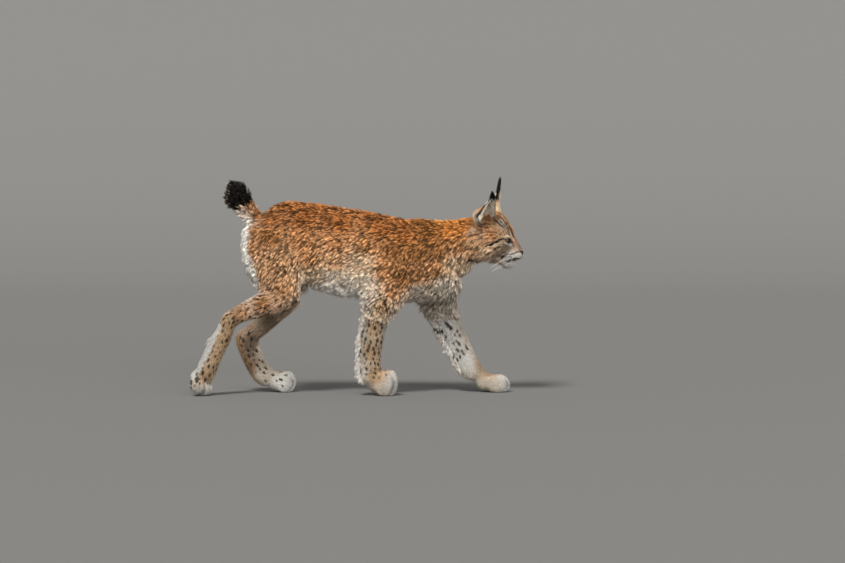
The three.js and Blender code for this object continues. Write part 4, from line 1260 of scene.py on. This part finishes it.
class Tufts:
    """Tufts as arrays: root, way out, lie, length, width, height, the dyes of root (with painted shade),
    middle and tip.
    """

    FIELDS = (
        "roots", "outs", "ways", "lengths", "widths", "heights",
        "root_shade_dyes", "dyes", "tips", "patches",
    )

    def __init__(self, **values):
        self.values = {key: np.asarray(values[key], float) for key in self.FIELDS}

    def some(self, wanted):
        return Tufts(**{key: value[wanted] for key, value in self.values.items()})

    def grow(self, name, rings=2, sunk=1.0, sway=0.06):
        """One joined mesh. Each tuft leaves its root, bends over and ends in a point at its height."""
        roots, outs, ways, lengths, widths, heights, *colouring = self.values.values()
        root_shade_dyes, dyes, tips, patches = colouring
        count = len(roots)
        ways = unit(ways - dot(ways, outs)[:, None] * outs)
        sides = np.cross(outs, ways)
        reach = np.sqrt(np.maximum(lengths**2 - heights**2, (0.3 * lengths) ** 2))
        bend = draws.normal(0, sway, count) * lengths
        corners = np.empty((count, 3 * rings + 1, 3))
        colours = np.empty((count, 3 * rings + 1, 3))
        spread = np.empty((count, 3 * rings + 1, 2))
        shares = np.append(np.linspace(0, 0.6 + 0.05 * rings, rings), 1.0) if rings > 1 else (0.0, 1.0)
        for i, share in enumerate(shares):
            rise = heights * (1 - (1 - share) ** 1.8) - sunk * (1 - share)
            line = roots + ways * (reach * share)[:, None] + outs * rise[:, None]
            line = line + sides * (bend * share**2)[:, None]
            if i == rings:
                corners[:, -1], colours[:, -1] = line, tips
                spread[:, -1] = patches + (0, PATCH / 2)
                break
            half = widths * 0.5 * (0.72 + share) * (1 - share) ** 0.5
            for k, (across, up) in enumerate(BLADE):
                beside, above = sides * (across * half)[:, None], outs * (up * half)[:, None]
                corners[:, 3 * i + k] = line + beside + above
                spread[:, 3 * i + k] = patches + ((k - 1) * PATCH / 2, (share - 0.5) * PATCH)
            known = min(1.0, share / 0.5)
            # from the root's painted shade up to the middle dye along the lower half of the tuft
            colours[:, 3 * i : 3 * i + 3] = (root_shade_dyes + known * (dyes - root_shade_dyes))[:, None]
        corners[:, :, 2] = np.maximum(corners[:, :, 2], 0.4)
        faces = tuft_template(rings)[None] + (3 * rings + 1) * np.arange(count)[:, None, None]
        corners, faces, colours = (values.reshape(-1, 3) for values in (corners, faces, colours))
        return mesh_piece(name, corners, faces, colours, np.clip(spread.reshape(-1, 2), 0, 1))


def clumped(roots, tips, every, pull):
    """Draws the tips of neighbouring tufts together. Also gives each tuft its clump's number."""
    seeds = draws.choice(len(roots), max(1, len(roots) // every), replace=False)
    tree = kdtree.KDTree(len(seeds))
    for number, i in enumerate(seeds):
        tree.insert(roots[i], number)
    tree.balance()
    clump = np.array([tree.find(root)[1] for root in roots])
    return tips + pull[:, None] * (tips[seeds[clump]] - tips), clump, len(seeds)


def shaded(base, clump_tone):
    """The dyes of root, middle and tip: dark at the root, partly hair that is darker there and partly
    painted shade of the gaps between tufts, pale at most tips, black at some.
    """
    count = len(base)
    base = base * np.exp(clump_tone + draws.normal(0, 0.14, count))[:, None]
    chance = draws.random(count)
    gain = np.select([chance < 0.12, chance < 0.62], [0.35, 1.7], 1.1)[:, None]
    light = smooth(0.25, 0.7, base.mean(1))[:, None]
    # the root dye: darker hair and painted shade of the gaps between tufts, less of it for pale coats
    deep = base ** (1.35 - 0.2 * light) * (0.45 + 0.5 * light)
    return deep, base, np.minimum(base * gain, 0.92)


def hair_density(points):
    """Tufts for each square millimetre: finest on the face and feet."""
    face = smooth(-20, 40, to_head(points)[:, 0])
    legs = smooth(SHORT_BELOW + 4, SHORT_BELOW - 4, points[:, 2])
    return 0.29 + 1.1 * face * (points[:, 2] > 200) + 0.42 * legs


def bare(points):
    """True where no hair grows: the eyes, the lips' edge and under the nose."""
    local = to_head(points)
    folded = fold(local)
    from_eye = np.linalg.norm(folded - EYE, axis=1)
    lids = np.minimum(*[lid_opening(local, side, 1.4) for side in SIDES])
    lips, _ = line_distance(folded, MOUTH)
    nose = egg(local, NOSE - (1, 0, 0), np.array([8.5, 9.5, 8.5]))
    return (lids < 0) & (from_eye < EYE_RADIUS + 5) | (lips < 1.3) | (nose < 0)


# Ahead of this on the face, in the head's axes, and below this on the legs, the tufts are fine
SHORT_AHEAD = 16
SHORT_BELOW = 186
CLUMP = 5  # tufts in a clump
DARK_CLUMPS = 0.4  # share of the clumps that are darker: partly tone that differs at random, partly painted shade of the gaps between locks
LONG_STEEPEST = 0.78  # a tuft's greatest height for its length
REGIONS = {
    "tail": "coat_russet", "head": "coat_sand", "neck": "coat_russet", "hindleg_right": "coat_sand",
    "hindleg_left": "coat_sand", "foreleg_right": "coat_sand", "foreleg_left": "coat_sand",
    "haunches": "coat_russet", "croup": "coat_russet", "loin": "coat_russet", "ribs": "coat_russet",
    "shoulders": "coat_russet",
}


def region_of(points):
    """The number of the region that a root belongs to."""
    x, y, z = points.T
    ahead = to_head(points)[:, 0]
    tests = [
        (x < -228) & (z > 392),
        (ahead > -34) & (z > 200),
        (x > 182 + (330 - z) * 0.58) & (z > 290),
        (z < 235) & (x < 0) & (y < 0),
        (z < 235) & (x < 0),
        (z < 205) & (y < 0),
        z < 205,
        (x < -110) & (z < 345),
        x < -110,
        x < -15,
        x < 72,
    ]
    return np.select(tests, list(range(11)), 11)


def lofted(points):
    """How much further the coat stands out where it is long."""
    folded = points * (1, 0, 1)
    extra = np.zeros(len(points))
    for stops, reach, most in LOFTS:
        line = np.array(stops, float)
        both = abs(line[:, 1]).max() == 0
        away, _ = line_distance(folded if both else points, line)
        extra = np.maximum(extra, most * np.exp(-((away / reach) ** 2)))
    away, _ = line_distance(fold(to_head(points)), RUFF)
    return np.maximum(extra, 8 * np.exp(-((away / 18) ** 2)))


def make_coat(skin, field, comb, dye):
    """Grows the tufts of the whole skin and joins them by region."""
    roots = Roots(skin, hair_density)
    roots.keep(~bare(roots.places))
    places, outs = roots.places, roots.outs
    count = len(places)
    ways, lengths = comb.read(places)
    swirl = 0.11 * waver(places, 60, 21) + 0.06 * waver(places, 19, 22) + draws.normal(0, 0.1, count)
    ways = unit(ways - dot(ways, outs)[:, None] * outs)
    ways = unit(ways + np.cross(outs, ways) * swirl[:, None])
    deep = field.body.at(field.deep, places)
    extra = lofted(places)
    face = smooth(-30, 20, to_head(places)[:, 0]) * (places[:, 2] > 200)
    lengths = (lengths + 0.8 * extra) * draws.uniform(0.7, 1.15, count)
    in_face = (to_head(places)[:, 0] > SHORT_AHEAD) & (places[:, 2] > 200)
    above_short = places[:, 2] - SHORT_BELOW - 14 * waver(places, 30, 23) - draws.normal(0, 9, count)
    short = in_face | (above_short < 0) & (extra < 3)
    deep = deep * (1 - face) + face * np.minimum(deep + 1, 0.4 * lengths)
    heights = deep * draws.uniform(0.55, 1.2, count) + extra * draws.uniform(0.3, 1.1, count)
    steepest = 0.38 + 0.3 * smooth(66, 36, places[:, 2])
    heights = np.minimum(heights, np.where(short & ~in_face, steepest, LONG_STEEPEST) * lengths)
    tips = places + ways * np.sqrt(lengths**2 - heights**2)[:, None] + outs * heights[:, None]
    head = smooth(-55, -30, to_head(places)[:, 0]) * (places[:, 2] > 200)
    pull = draws.uniform(0.3, 0.8, count) * (1 - 0.6 * head)
    tips, clump, clumps = clumped(places, tips, CLUMP, pull)
    stretch = 1 + (1 - 0.7 * head) * draws.uniform(-0.25, 0.25, clumps)[clump]
    away = (tips - places) * stretch[:, None]
    heights = np.maximum(dot(away, outs), 0.25 * heights)
    # darker clumps: random tone and painted shade of the gaps between locks
    tone = np.where(draws.random(clumps) < DARK_CLUMPS, -0.8, 0.36) + draws.normal(0, 0.15, clumps)
    base = dye.read(places + np.where(head > 0.5, 0.25, 0.45)[:, None] * away)
    pale = smooth(0.25, 0.7, base.mean(1))
    low = smooth(270, 165, places[:, 2])
    share = (1 - 0.4 * head) * (1 - 0.5 * low) * (1 - 0.65 * pale)
    # the roots carry painted shade of the gaps between tufts
    root_shade_dye, middle_dye, tip_dye = shaded(base, tone[clump] * share)
    tail_edge = (places[:, 0] < -236) & (places[:, 2] > 392) & (outs[:, 0] < -0.45)
    tip_dye[tail_edge & (draws.random(count) < 0.4)] = COATS["cream"]
    widths = np.clip(0.08 * lengths, 0.45, 1.45) * draws.uniform(0.75, 1.25, count)
    tufts = Tufts(
        roots=places, outs=outs, ways=away, lengths=np.linalg.norm(away, axis=1), widths=widths,
        heights=heights, root_shade_dyes=root_shade_dye, dyes=middle_dye, tips=tip_dye, patches=roots.patches,
    )
    region = region_of(places)
    finish = coat_finish("coat", 0.6)
    for number, (name, slot) in enumerate(REGIONS.items()):
        for fine, rings, word in ((False, 2, "coat_"), (True, 1, "coat_short_")):
            here = (region == number) & (short == fine)
            if here.any():
                dress(tufts.some(here).grow(word + name, rings), finish, slot)


def dress(thing, material, slot, *nodes):
    """Gives a piece its material, and ties it to the frame."""
    thing.data.materials.clear()
    thing.data.materials.append(material)
    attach(thing, "root")
    if nodes:
        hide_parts(*nodes)


# Ears: how far each root is moved back and up, how the ear is turned (degrees), and its tuft

EARS = {
    "ear_right": {
        "side": RIGHT, "moved": (-15, 0, 3), "tilt": 28, "opening": 32, "lean": 33, "tuft": (70, 32),
    },
    "ear_left": {
        "side": LEFT, "moved": (-5, 0, 7), "tilt": 12, "opening": 25, "lean": 15, "tuft": (2, 25),
    },
}
EAR_ROOT = (3, 33, 36)
EAR_LENGTH = 62
EAR_SUNK = 14  # how far the cup goes on inside the head
EAR_HALF = 30  # half its width
EAR_DEPTH = 26
EAR_THICK = 2.2
EAR_WRAP = 118  # how far each edge comes round, in degrees
EAR_ROWS, EAR_COLUMNS = 36, 33
EAR_HAIRS = 1.1  # tufts for each square millimetre
EAR_TUFT_HAIRS = 150


class Ear:
    """An ear's axes, and points of its cup. u runs from root to tip, and v from edge to edge."""

    def __init__(self, side, moved, tilt, opening, lean, tuft):
        tuft_tilt, tuft_length = tuft
        tilt, opening, lean, lift = (math.radians(a) for a in (tilt, opening, lean, tuft_tilt))
        self.side = side
        self.root = np.array(EAR_ROOT) * (1, side, 1) + moved
        self.length = unit(np.array([math.sin(lean), side * math.sin(tilt), math.cos(tilt)]))
        out = np.array([math.cos(opening), side * math.sin(opening), 0])
        self.out = unit(out - self.length * (out @ self.length))
        self.across = np.cross(self.length, self.out)
        self.tuft = tuft_length * unit(np.array([0.0, side * math.sin(lift), math.cos(lift)]))

    def point(self, u, v, inset=0.0):
        """Points of the cup, moved in from its outside by the inset."""
        u, v = np.asarray(u, float), np.asarray(v, float)
        taper = (1 - u) ** 0.72 * (0.3 + 0.7 * smooth(-0.05, 0.2, u))
        half = np.maximum(EAR_HALF * taper * (1 + 0.35 * u) - inset, 1.4 - 0.3 * inset)
        deep = np.maximum(EAR_DEPTH * taper - inset, 1.2 - 0.3 * inset)
        turn = np.radians(v * EAR_WRAP * (1 - 0.42 * u))
        along = u * (EAR_LENGTH + EAR_SUNK)
        in_out = deep * (0.15 - np.cos(turn)) - 3 * u
        local = (
            self.root
            + along[..., None] * self.length
            + in_out[..., None] * self.out
            + (half * np.sin(turn))[..., None] * self.across
        )
        return from_head(local)


def ear_dye(ear, u, v, inner):
    """The colours of an ear: v is -1 at its front edge and 1 at its rear edge."""
    rear = v * ear.side
    base = np.tile(COATS["tan"], (len(u), 1))
    base = over(base, "beige", smooth(-0.5, -0.85, rear))
    base = over(base, "grey", 0.7 * smooth(0.45, 0.2, u) * smooth(0.2, 0.5, rear))
    base = over(base, "black", smooth(0.48, 0.62, u) * smooth(1.05, 0.8, np.abs(rear)))
    spot = np.hypot((u - 0.7) / 0.13, (rear - 0.2) / 0.45)
    base = over(base, "white", smooth(1.15, 0.85, spot))
    tip = smooth(0.86, 0.92, u)
    rim = smooth(0.9, 0.95, rear) * (1 - tip) * smooth(0.12, 0.25, u)
    black = smooth(0.62, 0.7, rear) * smooth(0.1, 0.25, u)
    base = over(base, "black", np.maximum(black, tip))
    base = over(base, "cream", rim)
    inside = np.tile(COATS["smoke"] * 0.3, (len(u), 1))
    inside = over(inside, "grey", 0.35 * smooth(0.4, 0.15, u))
    inside = over(inside, "cream", smooth(-0.65, -0.85, rear))
    inside = over(inside, "white", smooth(0.55, 0.75, rear) * (1 - tip) * smooth(0.08, 0.22, u))
    inside = over(inside, "black", tip)
    return np.where(inner[:, None], inside, base)


def make_ear(name, ear):
    """The cup of an ear, with the values u and v at its corners for its fur."""
    u, v = np.meshgrid(np.linspace(0, 1, EAR_ROWS), np.linspace(-1, 1, EAR_COLUMNS), indexing="ij")
    outer, inner = (ear.point(u, v, inset).reshape(-1, 3) for inset in (0.8, 0.8 + EAR_THICK))
    other = EAR_ROWS * EAR_COLUMNS
    number = np.arange(other).reshape(EAR_ROWS, EAR_COLUMNS)
    cells = [number[:-1, :-1], number[:-1, 1:], number[1:, 1:], number[1:, :-1]]
    sheet = np.stack(cells, -1).reshape(-1, 4)
    edge = np.concatenate([number[0], number[1:, -1], number[-1, -2::-1], number[-2:0:-1, 0]])
    following = np.roll(edge, -1)
    rim = np.stack([edge, edge + other, following + other, following], -1)
    faces = np.concatenate([sheet, sheet[:, ::-1] + other, rim])
    thing = mesh_piece(name + "_cup", np.concatenate([outer, inner]), faces)
    unwrap(thing)
    u, v = np.tile(u.ravel(), 2), np.tile(v.ravel(), 2)
    is_inner = np.arange(2 * other) >= other
    # the ear's skin takes its fur's colours at 0.4 brightness: painted shade of the gaps under that fur
    set_colours(thing.data, ear_dye(ear, u, v, is_inner) * 0.4)
    return thing, u, v, is_inner


def make_ear_coat(name, ear, cup, u, v, is_inner):
    """Short fur all over an ear, and long pale hairs inside its front edge and base."""
    roots = Roots(cup, lambda points: np.full(len(points), EAR_HAIRS))
    u, v, inner = roots.between(u), roots.between(v), roots.between(is_inner.astype(float)) > 0.5
    kept = u > 0.02
    roots.keep(kept)
    u, v, inner = u[kept], v[kept], inner[kept]
    count = len(u)
    rear = v * ear.side
    step = 0.01
    ahead = np.minimum(u + step, 1)
    to_tip = unit(ear.point(ahead, v * 0.97) - ear.point(ahead - step, v))
    lengths = np.where(inner, 5.0, 7.0 + 9 * smooth(0.4, 0.1, u)) * draws.uniform(0.7, 1.2, count)
    lengths = lengths * (1 - 0.3 * u)
    frill = 0.5 * smooth(-0.3, -0.8, rear) + 0.25 * smooth(0.4, 0.6, rear) * smooth(0.8, 0.7, rear)
    share = 0.11 * smooth(0.7, 0.25, u) + 0.7 * frill * smooth(0.9, 0.7, u)
    long_hair = inner & (draws.random(count) < share)
    lengths = np.where(long_hair, draws.uniform(10, 19, count) * (1 - 0.5 * u), lengths)
    across_ear = HEAD_AXES @ (ear.across * ear.side)
    lean = np.where(inner & long_hair, 0.75, np.where(np.abs(rear) > 0.88, 0.45, 0.0))
    ways = to_tip + (lean * np.sign(0.2 - rear))[:, None] * across_ear
    rise = np.where(long_hair, draws.uniform(0.2, 0.55, count), draws.uniform(0.15, 0.35, count))
    heights = lengths * rise
    base = ear_dye(ear, u, v, inner)
    pale = (long_hair & (u < 0.7))[:, None]
    base = np.where(pale, COATS["cream"] * draws.uniform(0.7, 1.05, (count, 1)), base)
    root_shade_dye, middle_dye, tip_dye = shaded(base, np.zeros(count))
    tufts = Tufts(
        roots=roots.places, outs=roots.outs, ways=ways, lengths=lengths,
        widths=np.clip(0.1 * lengths, 0.5, 0.9), heights=heights,
        root_shade_dyes=root_shade_dye, dyes=middle_dye, tips=tip_dye, patches=roots.patches,
    )
    finish = coat_finish("coat_" + name, 0.6)
    dress(tufts.some(~long_hair).grow("coat_" + name, 1, 0.4), finish, "coat_sand")
    dress(tufts.some(long_hair).grow("coat_inside_" + name, 3, 0.4), finish, "coat_cream")


def make_ear_tuft(name, ear):
    """The black hairs past the tip of an ear, drawn out to one point."""
    count = EAR_TUFT_HAIRS
    u, v = draws.triangular(0.7, 0.97, 0.99, count), draws.uniform(-1, 1, count)
    roots = ear.point(u, v, 1.5)
    end = ear.point(1.0, 0.0) + HEAD_AXES @ ear.tuft
    ways = (end - roots) * draws.uniform(0.62, 1.04, (count, 1)) + draws.normal(0, 0.9, (count, 3))
    outs = unit(np.cross(ways, draws.normal(0, 1, (count, 3))))
    black = np.tile(COATS["black"], (count, 1)) * draws.uniform(0.6, 1.6, (count, 1))
    lengths = np.linalg.norm(ways, axis=1)
    tufts = Tufts(
        roots=roots, outs=outs, ways=ways, lengths=lengths, widths=np.full(count, 1.1),
        heights=draws.uniform(0, 1.5, count), root_shade_dyes=black, dyes=black, tips=black,
        patches=draws.uniform(0.1, 0.9, (count, 2)),
    )
    finish = coat_finish("coat_tuft_" + name, 0.5)
    dress(tufts.grow("coat_tuft_" + name, 4, 0.0, 0.03), finish, "ear_skin")


def make_whiskers(field):
    """White whiskers from the pads of the muzzle, and a few white hairs over each eye."""
    rows = []
    for side in SIDES:
        for row, (ahead, up) in enumerate(((0, -30), (-2, -34), (-5, -38.5))):
            for k in range(2):
                root = np.array([60.0 - 6.5 * k + ahead, 0, up])
                out = unit(np.array([0.35 - 0.2 * k, 1.0, -0.1]))
                way = np.array([-0.8, 0.35, -0.42 - 0.12 * row]) + draws.normal(0, 0.1, 3)
                rows.append((root, out, way, draws.uniform(46, 70) - 12 * (k == 0), side))
        for k in range(3):
            root = np.array([45.0 - 3 * k, 0, 12.0 + k])
            out = unit(np.array([0.6, 0.5, 0.5]))
            way = np.array([-0.5, 0.3, 0.8]) + draws.normal(0, 0.1, 3)
            rows.append((root, out, way, draws.uniform(16, 26), side))
    flips = np.array([(1, side, 1) for *_, side in rows])
    outs = np.array([out for _, out, *_ in rows]) * flips
    seeds = np.array([root for root, *_ in rows])
    seeds[:, 1] = np.where(seeds[:, 2] < 0, 12.0 + 0.32 * (62 - seeds[:, 0]), 17.0)
    seeds = from_head(seeds * flips)
    roots = field.settle(seeds, 14)
    ways = np.array([way for _, _, way, *_ in rows]) * flips @ HEAD_AXES.T
    outs = outs @ HEAD_AXES.T
    lengths = np.array([row[3] for row in rows])
    dyes = np.tile(COATS["white"], (len(rows), 1))
    tufts = Tufts(
        roots=roots, outs=outs, ways=ways, lengths=lengths, widths=np.full(len(rows), 0.55),
        heights=0.42 * lengths, root_shade_dyes=dyes, dyes=dyes, tips=dyes,
        patches=draws.uniform(0.1, 0.9, (len(rows), 2)),
    )
    finish = Finish("whiskers")
    material = finish.finish(Base_Color=tuple(COATS["white"]), Roughness=0.4)
    dress(tufts.grow("whiskers", 8, 1.0, 0.03), material, "coat_cream")


# Eyes, lids and nose


def eye_finish(side):
    finish = Finish("eye_right" if side < 0 else "eye_left")
    centre = to_frame(from_head(EYE * (1, side, 1)))
    look = HEAD_AXES @ np.array([math.cos(EYE_OUTWARD), side * math.sin(EYE_OUTWARD), 0.02])
    subtract, product = ({"operation": name} for name in ("SUBTRACT", "DOT_PRODUCT"))
    away = finish.add("ShaderNodeVectorMath", subtract, finish.place(), tuple(centre))
    look = tuple(look / (EYE_RADIUS * MM))
    facing = finish.add("ShaderNodeVectorMath", product, away, look, out="Value")
    rays = finish.noise(900.0, 4.0)
    iris = finish.ramp(
        facing + (rays - 0.5) * 0.03,
        (0.66, (0.012, 0.009, 0.007)),
        (0.71, tuple(colour("3c2810"))),
        (0.80, tuple(colour("755524"))),
        (0.87, tuple(colour("4c3416"))),
        (0.885, (0.002, 0.002, 0.002)),
    )
    shine = {"Coat_Weight": 1.0, "Coat_Roughness": 0.02, "Coat_IOR": 1.36}
    return finish.finish(Base_Color=iris, Roughness=0.4, Specular_IOR_Level=0.05, **shine)


def make_eye(side):
    name = "eyeball_right" if side < 0 else "eyeball_left"
    centre = to_frame(from_head(EYE * (1, side, 1)))
    bpy.ops.mesh.primitive_uv_sphere_add(segments=48, ring_count=32, radius=EYE_RADIUS * MM)
    thing = bpy.context.active_object
    thing.name = name
    thing.data.transform(Matrix.Translation(Vector(centre)))
    thing.data.shade_smooth()
    return thing


def make_lids(side):
    """The dark, wet rim round the opening between the lids, a little wider at the tear duct."""
    steps, around = 72, 10
    turn = np.linspace(0, 2 * math.pi, steps, endpoint=False)
    along = (LID[0] + 0.3) * np.cos(turn)
    up = (LID[1] + 0.2) * np.sin(turn) * np.abs(np.sin(turn)) - 0.7
    ball = EYE_RADIUS + 0.7
    out = np.sqrt(ball**2 - along**2 - up**2)
    line = np.stack([out, along, up], 1)
    ahead = unit(np.roll(line, -1, 0) - np.roll(line, 1, 0))
    outward = unit(line)
    beside = np.cross(ahead, outward)
    thick = 1.05 + 0.35 * smooth(-0.7, -1, np.cos(turn)) - 0.25 * smooth(0.8, 1, np.cos(turn))
    ring = np.linspace(0, 2 * math.pi, around, endpoint=False)[None, :, None]
    section = np.cos(ring) * beside[:, None] + 0.8 * np.sin(ring) * outward[:, None]
    tube = line[:, None] + thick[:, None, None] * section
    corners = from_head(tube.reshape(-1, 3) @ lid_axes(side) + EYE * (1, side, 1))
    number = np.arange(steps * around).reshape(steps, around)
    after, beyond = np.roll(number, -1, 0), np.roll(number, -1, 1)
    quads = np.stack([number, beyond, np.roll(after, -1, 1), after], -1).reshape(-1, 4)
    thing = mesh_piece("lids_right" if side < 0 else "lids_left", corners, quads)
    unwrap(thing)
    return thing


def make_nose():
    """The nose leather: a flat-topped pad with comma nostrils and the groove below."""
    block = Block(from_head(NOSE) - 17, from_head(NOSE) + 17, 0.55)
    places = to_head(block.places())
    away = places - NOSE
    ahead, across, up = away.T
    narrow = 1 / (0.6 + 0.4 * smooth(-9, 2, up))
    shaped = np.stack([ahead, across * narrow, up * np.where(up > 0, 1.2, 1.0)], 1)
    body = egg(shaped, 0, np.array([8.8, 9.2, 8.4]))
    front = (away - (6.4, 0, -1.5)) @ unit(np.array([0.93, 0, 0.3]))
    body = cut_soft(body, -front, 3.5)
    folded = fold(places)
    hole, _ = line_distance(folded, [(75.6, 3.2, -27.8), (74.6, 6.3, -27.0), (71.0, 8.9, -25.2)])
    body = cut_soft(body, hole - 1.5, 0.8)
    groove, _ = line_distance(places, [(76.5, 0, -24), (75.8, 0, -30), (72, 0, -35)])
    body = cut_soft(body, groove - 0.55, 0.8)
    corners, quads = block.surface(body.reshape(block.shape))
    thing = mesh_piece("nose_leather", corners, quads)
    apply(thing, "SMOOTH", factor=0.5, iterations=2)
    corners = to_head(corners_of(thing))
    hole, _ = line_distance(fold(corners), [(75.6, 3.2, -27.8), (74.6, 6.3, -27.0), (70.0, 9.0, -25.0)])
    # black: painted shade in and round the nostril openings, and the leather's own dark lower edge
    rim = np.maximum(smooth(4.4, 2.0, hole), smooth(-25.5, -29.5, corners[:, 2]))
    base = np.tile(COATS["leather"], (len(corners), 1))
    set_colours(thing.data, over(base, "black", 0.92 * rim))
    unwrap(thing)
    return thing


def nose_finish():
    finish = Finish("nose_leather")
    dye = finish.dye()
    grain = finish.add("ShaderNodeTexVoronoi", {}, Vector=finish.place(), Scale=1400.0, out="Distance")
    blotch = finish.ramp(finish.noise(220.0, 3.0), (0.35, (0.7,) * 3), (0.65, (1.1,) * 3))
    return finish.finish(
        Base_Color=finish.mix(1.0, dye, blotch, "MULTIPLY"),
        Roughness=0.42,
        Normal=finish.bump(grain, 0.4, 0.0003),
    )


def rim_finish():
    finish = Finish("lid_rims")
    return finish.finish(Base_Color=(0.012, 0.009, 0.007), Roughness=0.3)


# Floor, light and camera

CAMERA_AIM = np.array([151.9, 0, 253.0])  # the middle of the picture, in the middle plane
CAMERA_AWAY = 6000.0
CAMERA_ELEVATION = math.radians(3)
VIEW_WIDTH = 1901.0  # what the picture takes in at the animal, in millimetres


# The floor, in metres: how far it goes to each side, forwards, back to its curve, and up
FLOOR_HALF, FLOOR_FRONT, FLOOR_BACK, FLOOR_BEND, FLOOR_TOP = 14, -12, 4, 3, 12


def make_floor():
    """A grey floor that curves up behind the animal."""
    turn = np.linspace(-math.pi / 2, 0, 24)
    bend = [(FLOOR_BACK + FLOOR_BEND * math.cos(a), FLOOR_BEND * (1 + math.sin(a))) for a in turn]
    line = [(FLOOR_FRONT, 0), *bend, (FLOOR_BACK + FLOOR_BEND, FLOOR_TOP)]
    corners = np.array([(x, y, z) for x in (-FLOOR_HALF, FLOOR_HALF) for y, z in line])
    count = len(line)
    faces = np.array([(i, i + count, i + count + 1, i + 1) for i in range(count - 1)])
    floor = mesh_piece("floor", corners / MM - SHIFT / MM, faces)
    finish = Finish("floor")
    floor.data.materials.append(finish.finish(Base_Color=(0.125, 0.123, 0.118), Roughness=0.9))


def sun(name, way, strength, soft, tint=(1, 1, 1)):
    """An even light that shines along a direction."""
    light = bpy.data.lights.new(name, "SUN")
    light.energy = strength
    light.angle = math.radians(soft)
    light.color = tint
    thing = bpy.data.objects.new(name, light)
    thing.rotation_euler = Vector(way).to_track_quat("-Z", "Y").to_euler()
    bpy.context.scene.collection.objects.link(thing)


def make_studio():
    sun("key", (0.35, 0.75, -1.15), 4.0, 14, (1, 0.98, 0.94))
    sun("fill", (-0.5, 1, -0.2), 2.2, 40)
    sun("back", (-0.2, -1, -1.1), 0.8, 30)
    world = bpy.data.worlds.new("studio")
    world.use_nodes = True
    world.node_tree.nodes["Background"].inputs["Color"].default_value = (1, 1, 1, 1)
    world.node_tree.nodes["Background"].inputs["Strength"].default_value = 0.5
    bpy.context.scene.world = world
    bpy.context.scene.view_settings.view_transform = "Standard"


def make_camera():
    aim = Vector(to_frame(CAMERA_AIM))
    away = Vector((0, -math.cos(CAMERA_ELEVATION), math.sin(CAMERA_ELEVATION))) * CAMERA_AWAY * MM
    data = bpy.data.cameras.new("camera")
    data.sensor_width = 36
    data.lens = 36 * CAMERA_AWAY / VIEW_WIDTH
    camera = bpy.data.objects.new("camera", data)
    camera.location = aim + away
    camera.rotation_euler = (-away).to_track_quat("-Z", "Y").to_euler()
    bpy.context.scene.collection.objects.link(camera)
    bpy.context.scene.camera = camera


# The whole animal

make_camera()
make_studio()
make_floor()
field = Skin()
skin = make_skin(field)
skin_points = corners_of(skin)
comb = Comb()
dye = Dye(skin_points, comb.read(skin_points)[0])
# the skin takes the coat's colours at half brightness: painted shade of the gaps under the coat
set_colours(skin.data, dye.read(skin_points) * 0.5)
dress(skin, skin_finish(), "coat_russet", *FLESH)
make_coat(skin, field, comb, dye)
for name, turns in EARS.items():
    ear = Ear(**turns)
    cup, *values = make_ear(name, ear)
    dress(cup, coat_finish(name + "_skin", 0.7), "ear_skin", name)
    make_ear_coat(name, ear, cup, *values)
    make_ear_tuft(name, ear)
make_whiskers(field)
rims = rim_finish()
for side, node in ((RIGHT, "eye_right"), (LEFT, "eye_left")):
    dress(make_eye(side), eye_finish(side), "eye", node)
    dress(make_lids(side), rims, "nose_leather")
dress(make_nose(), nose_finish(), "nose_leather", "nose")
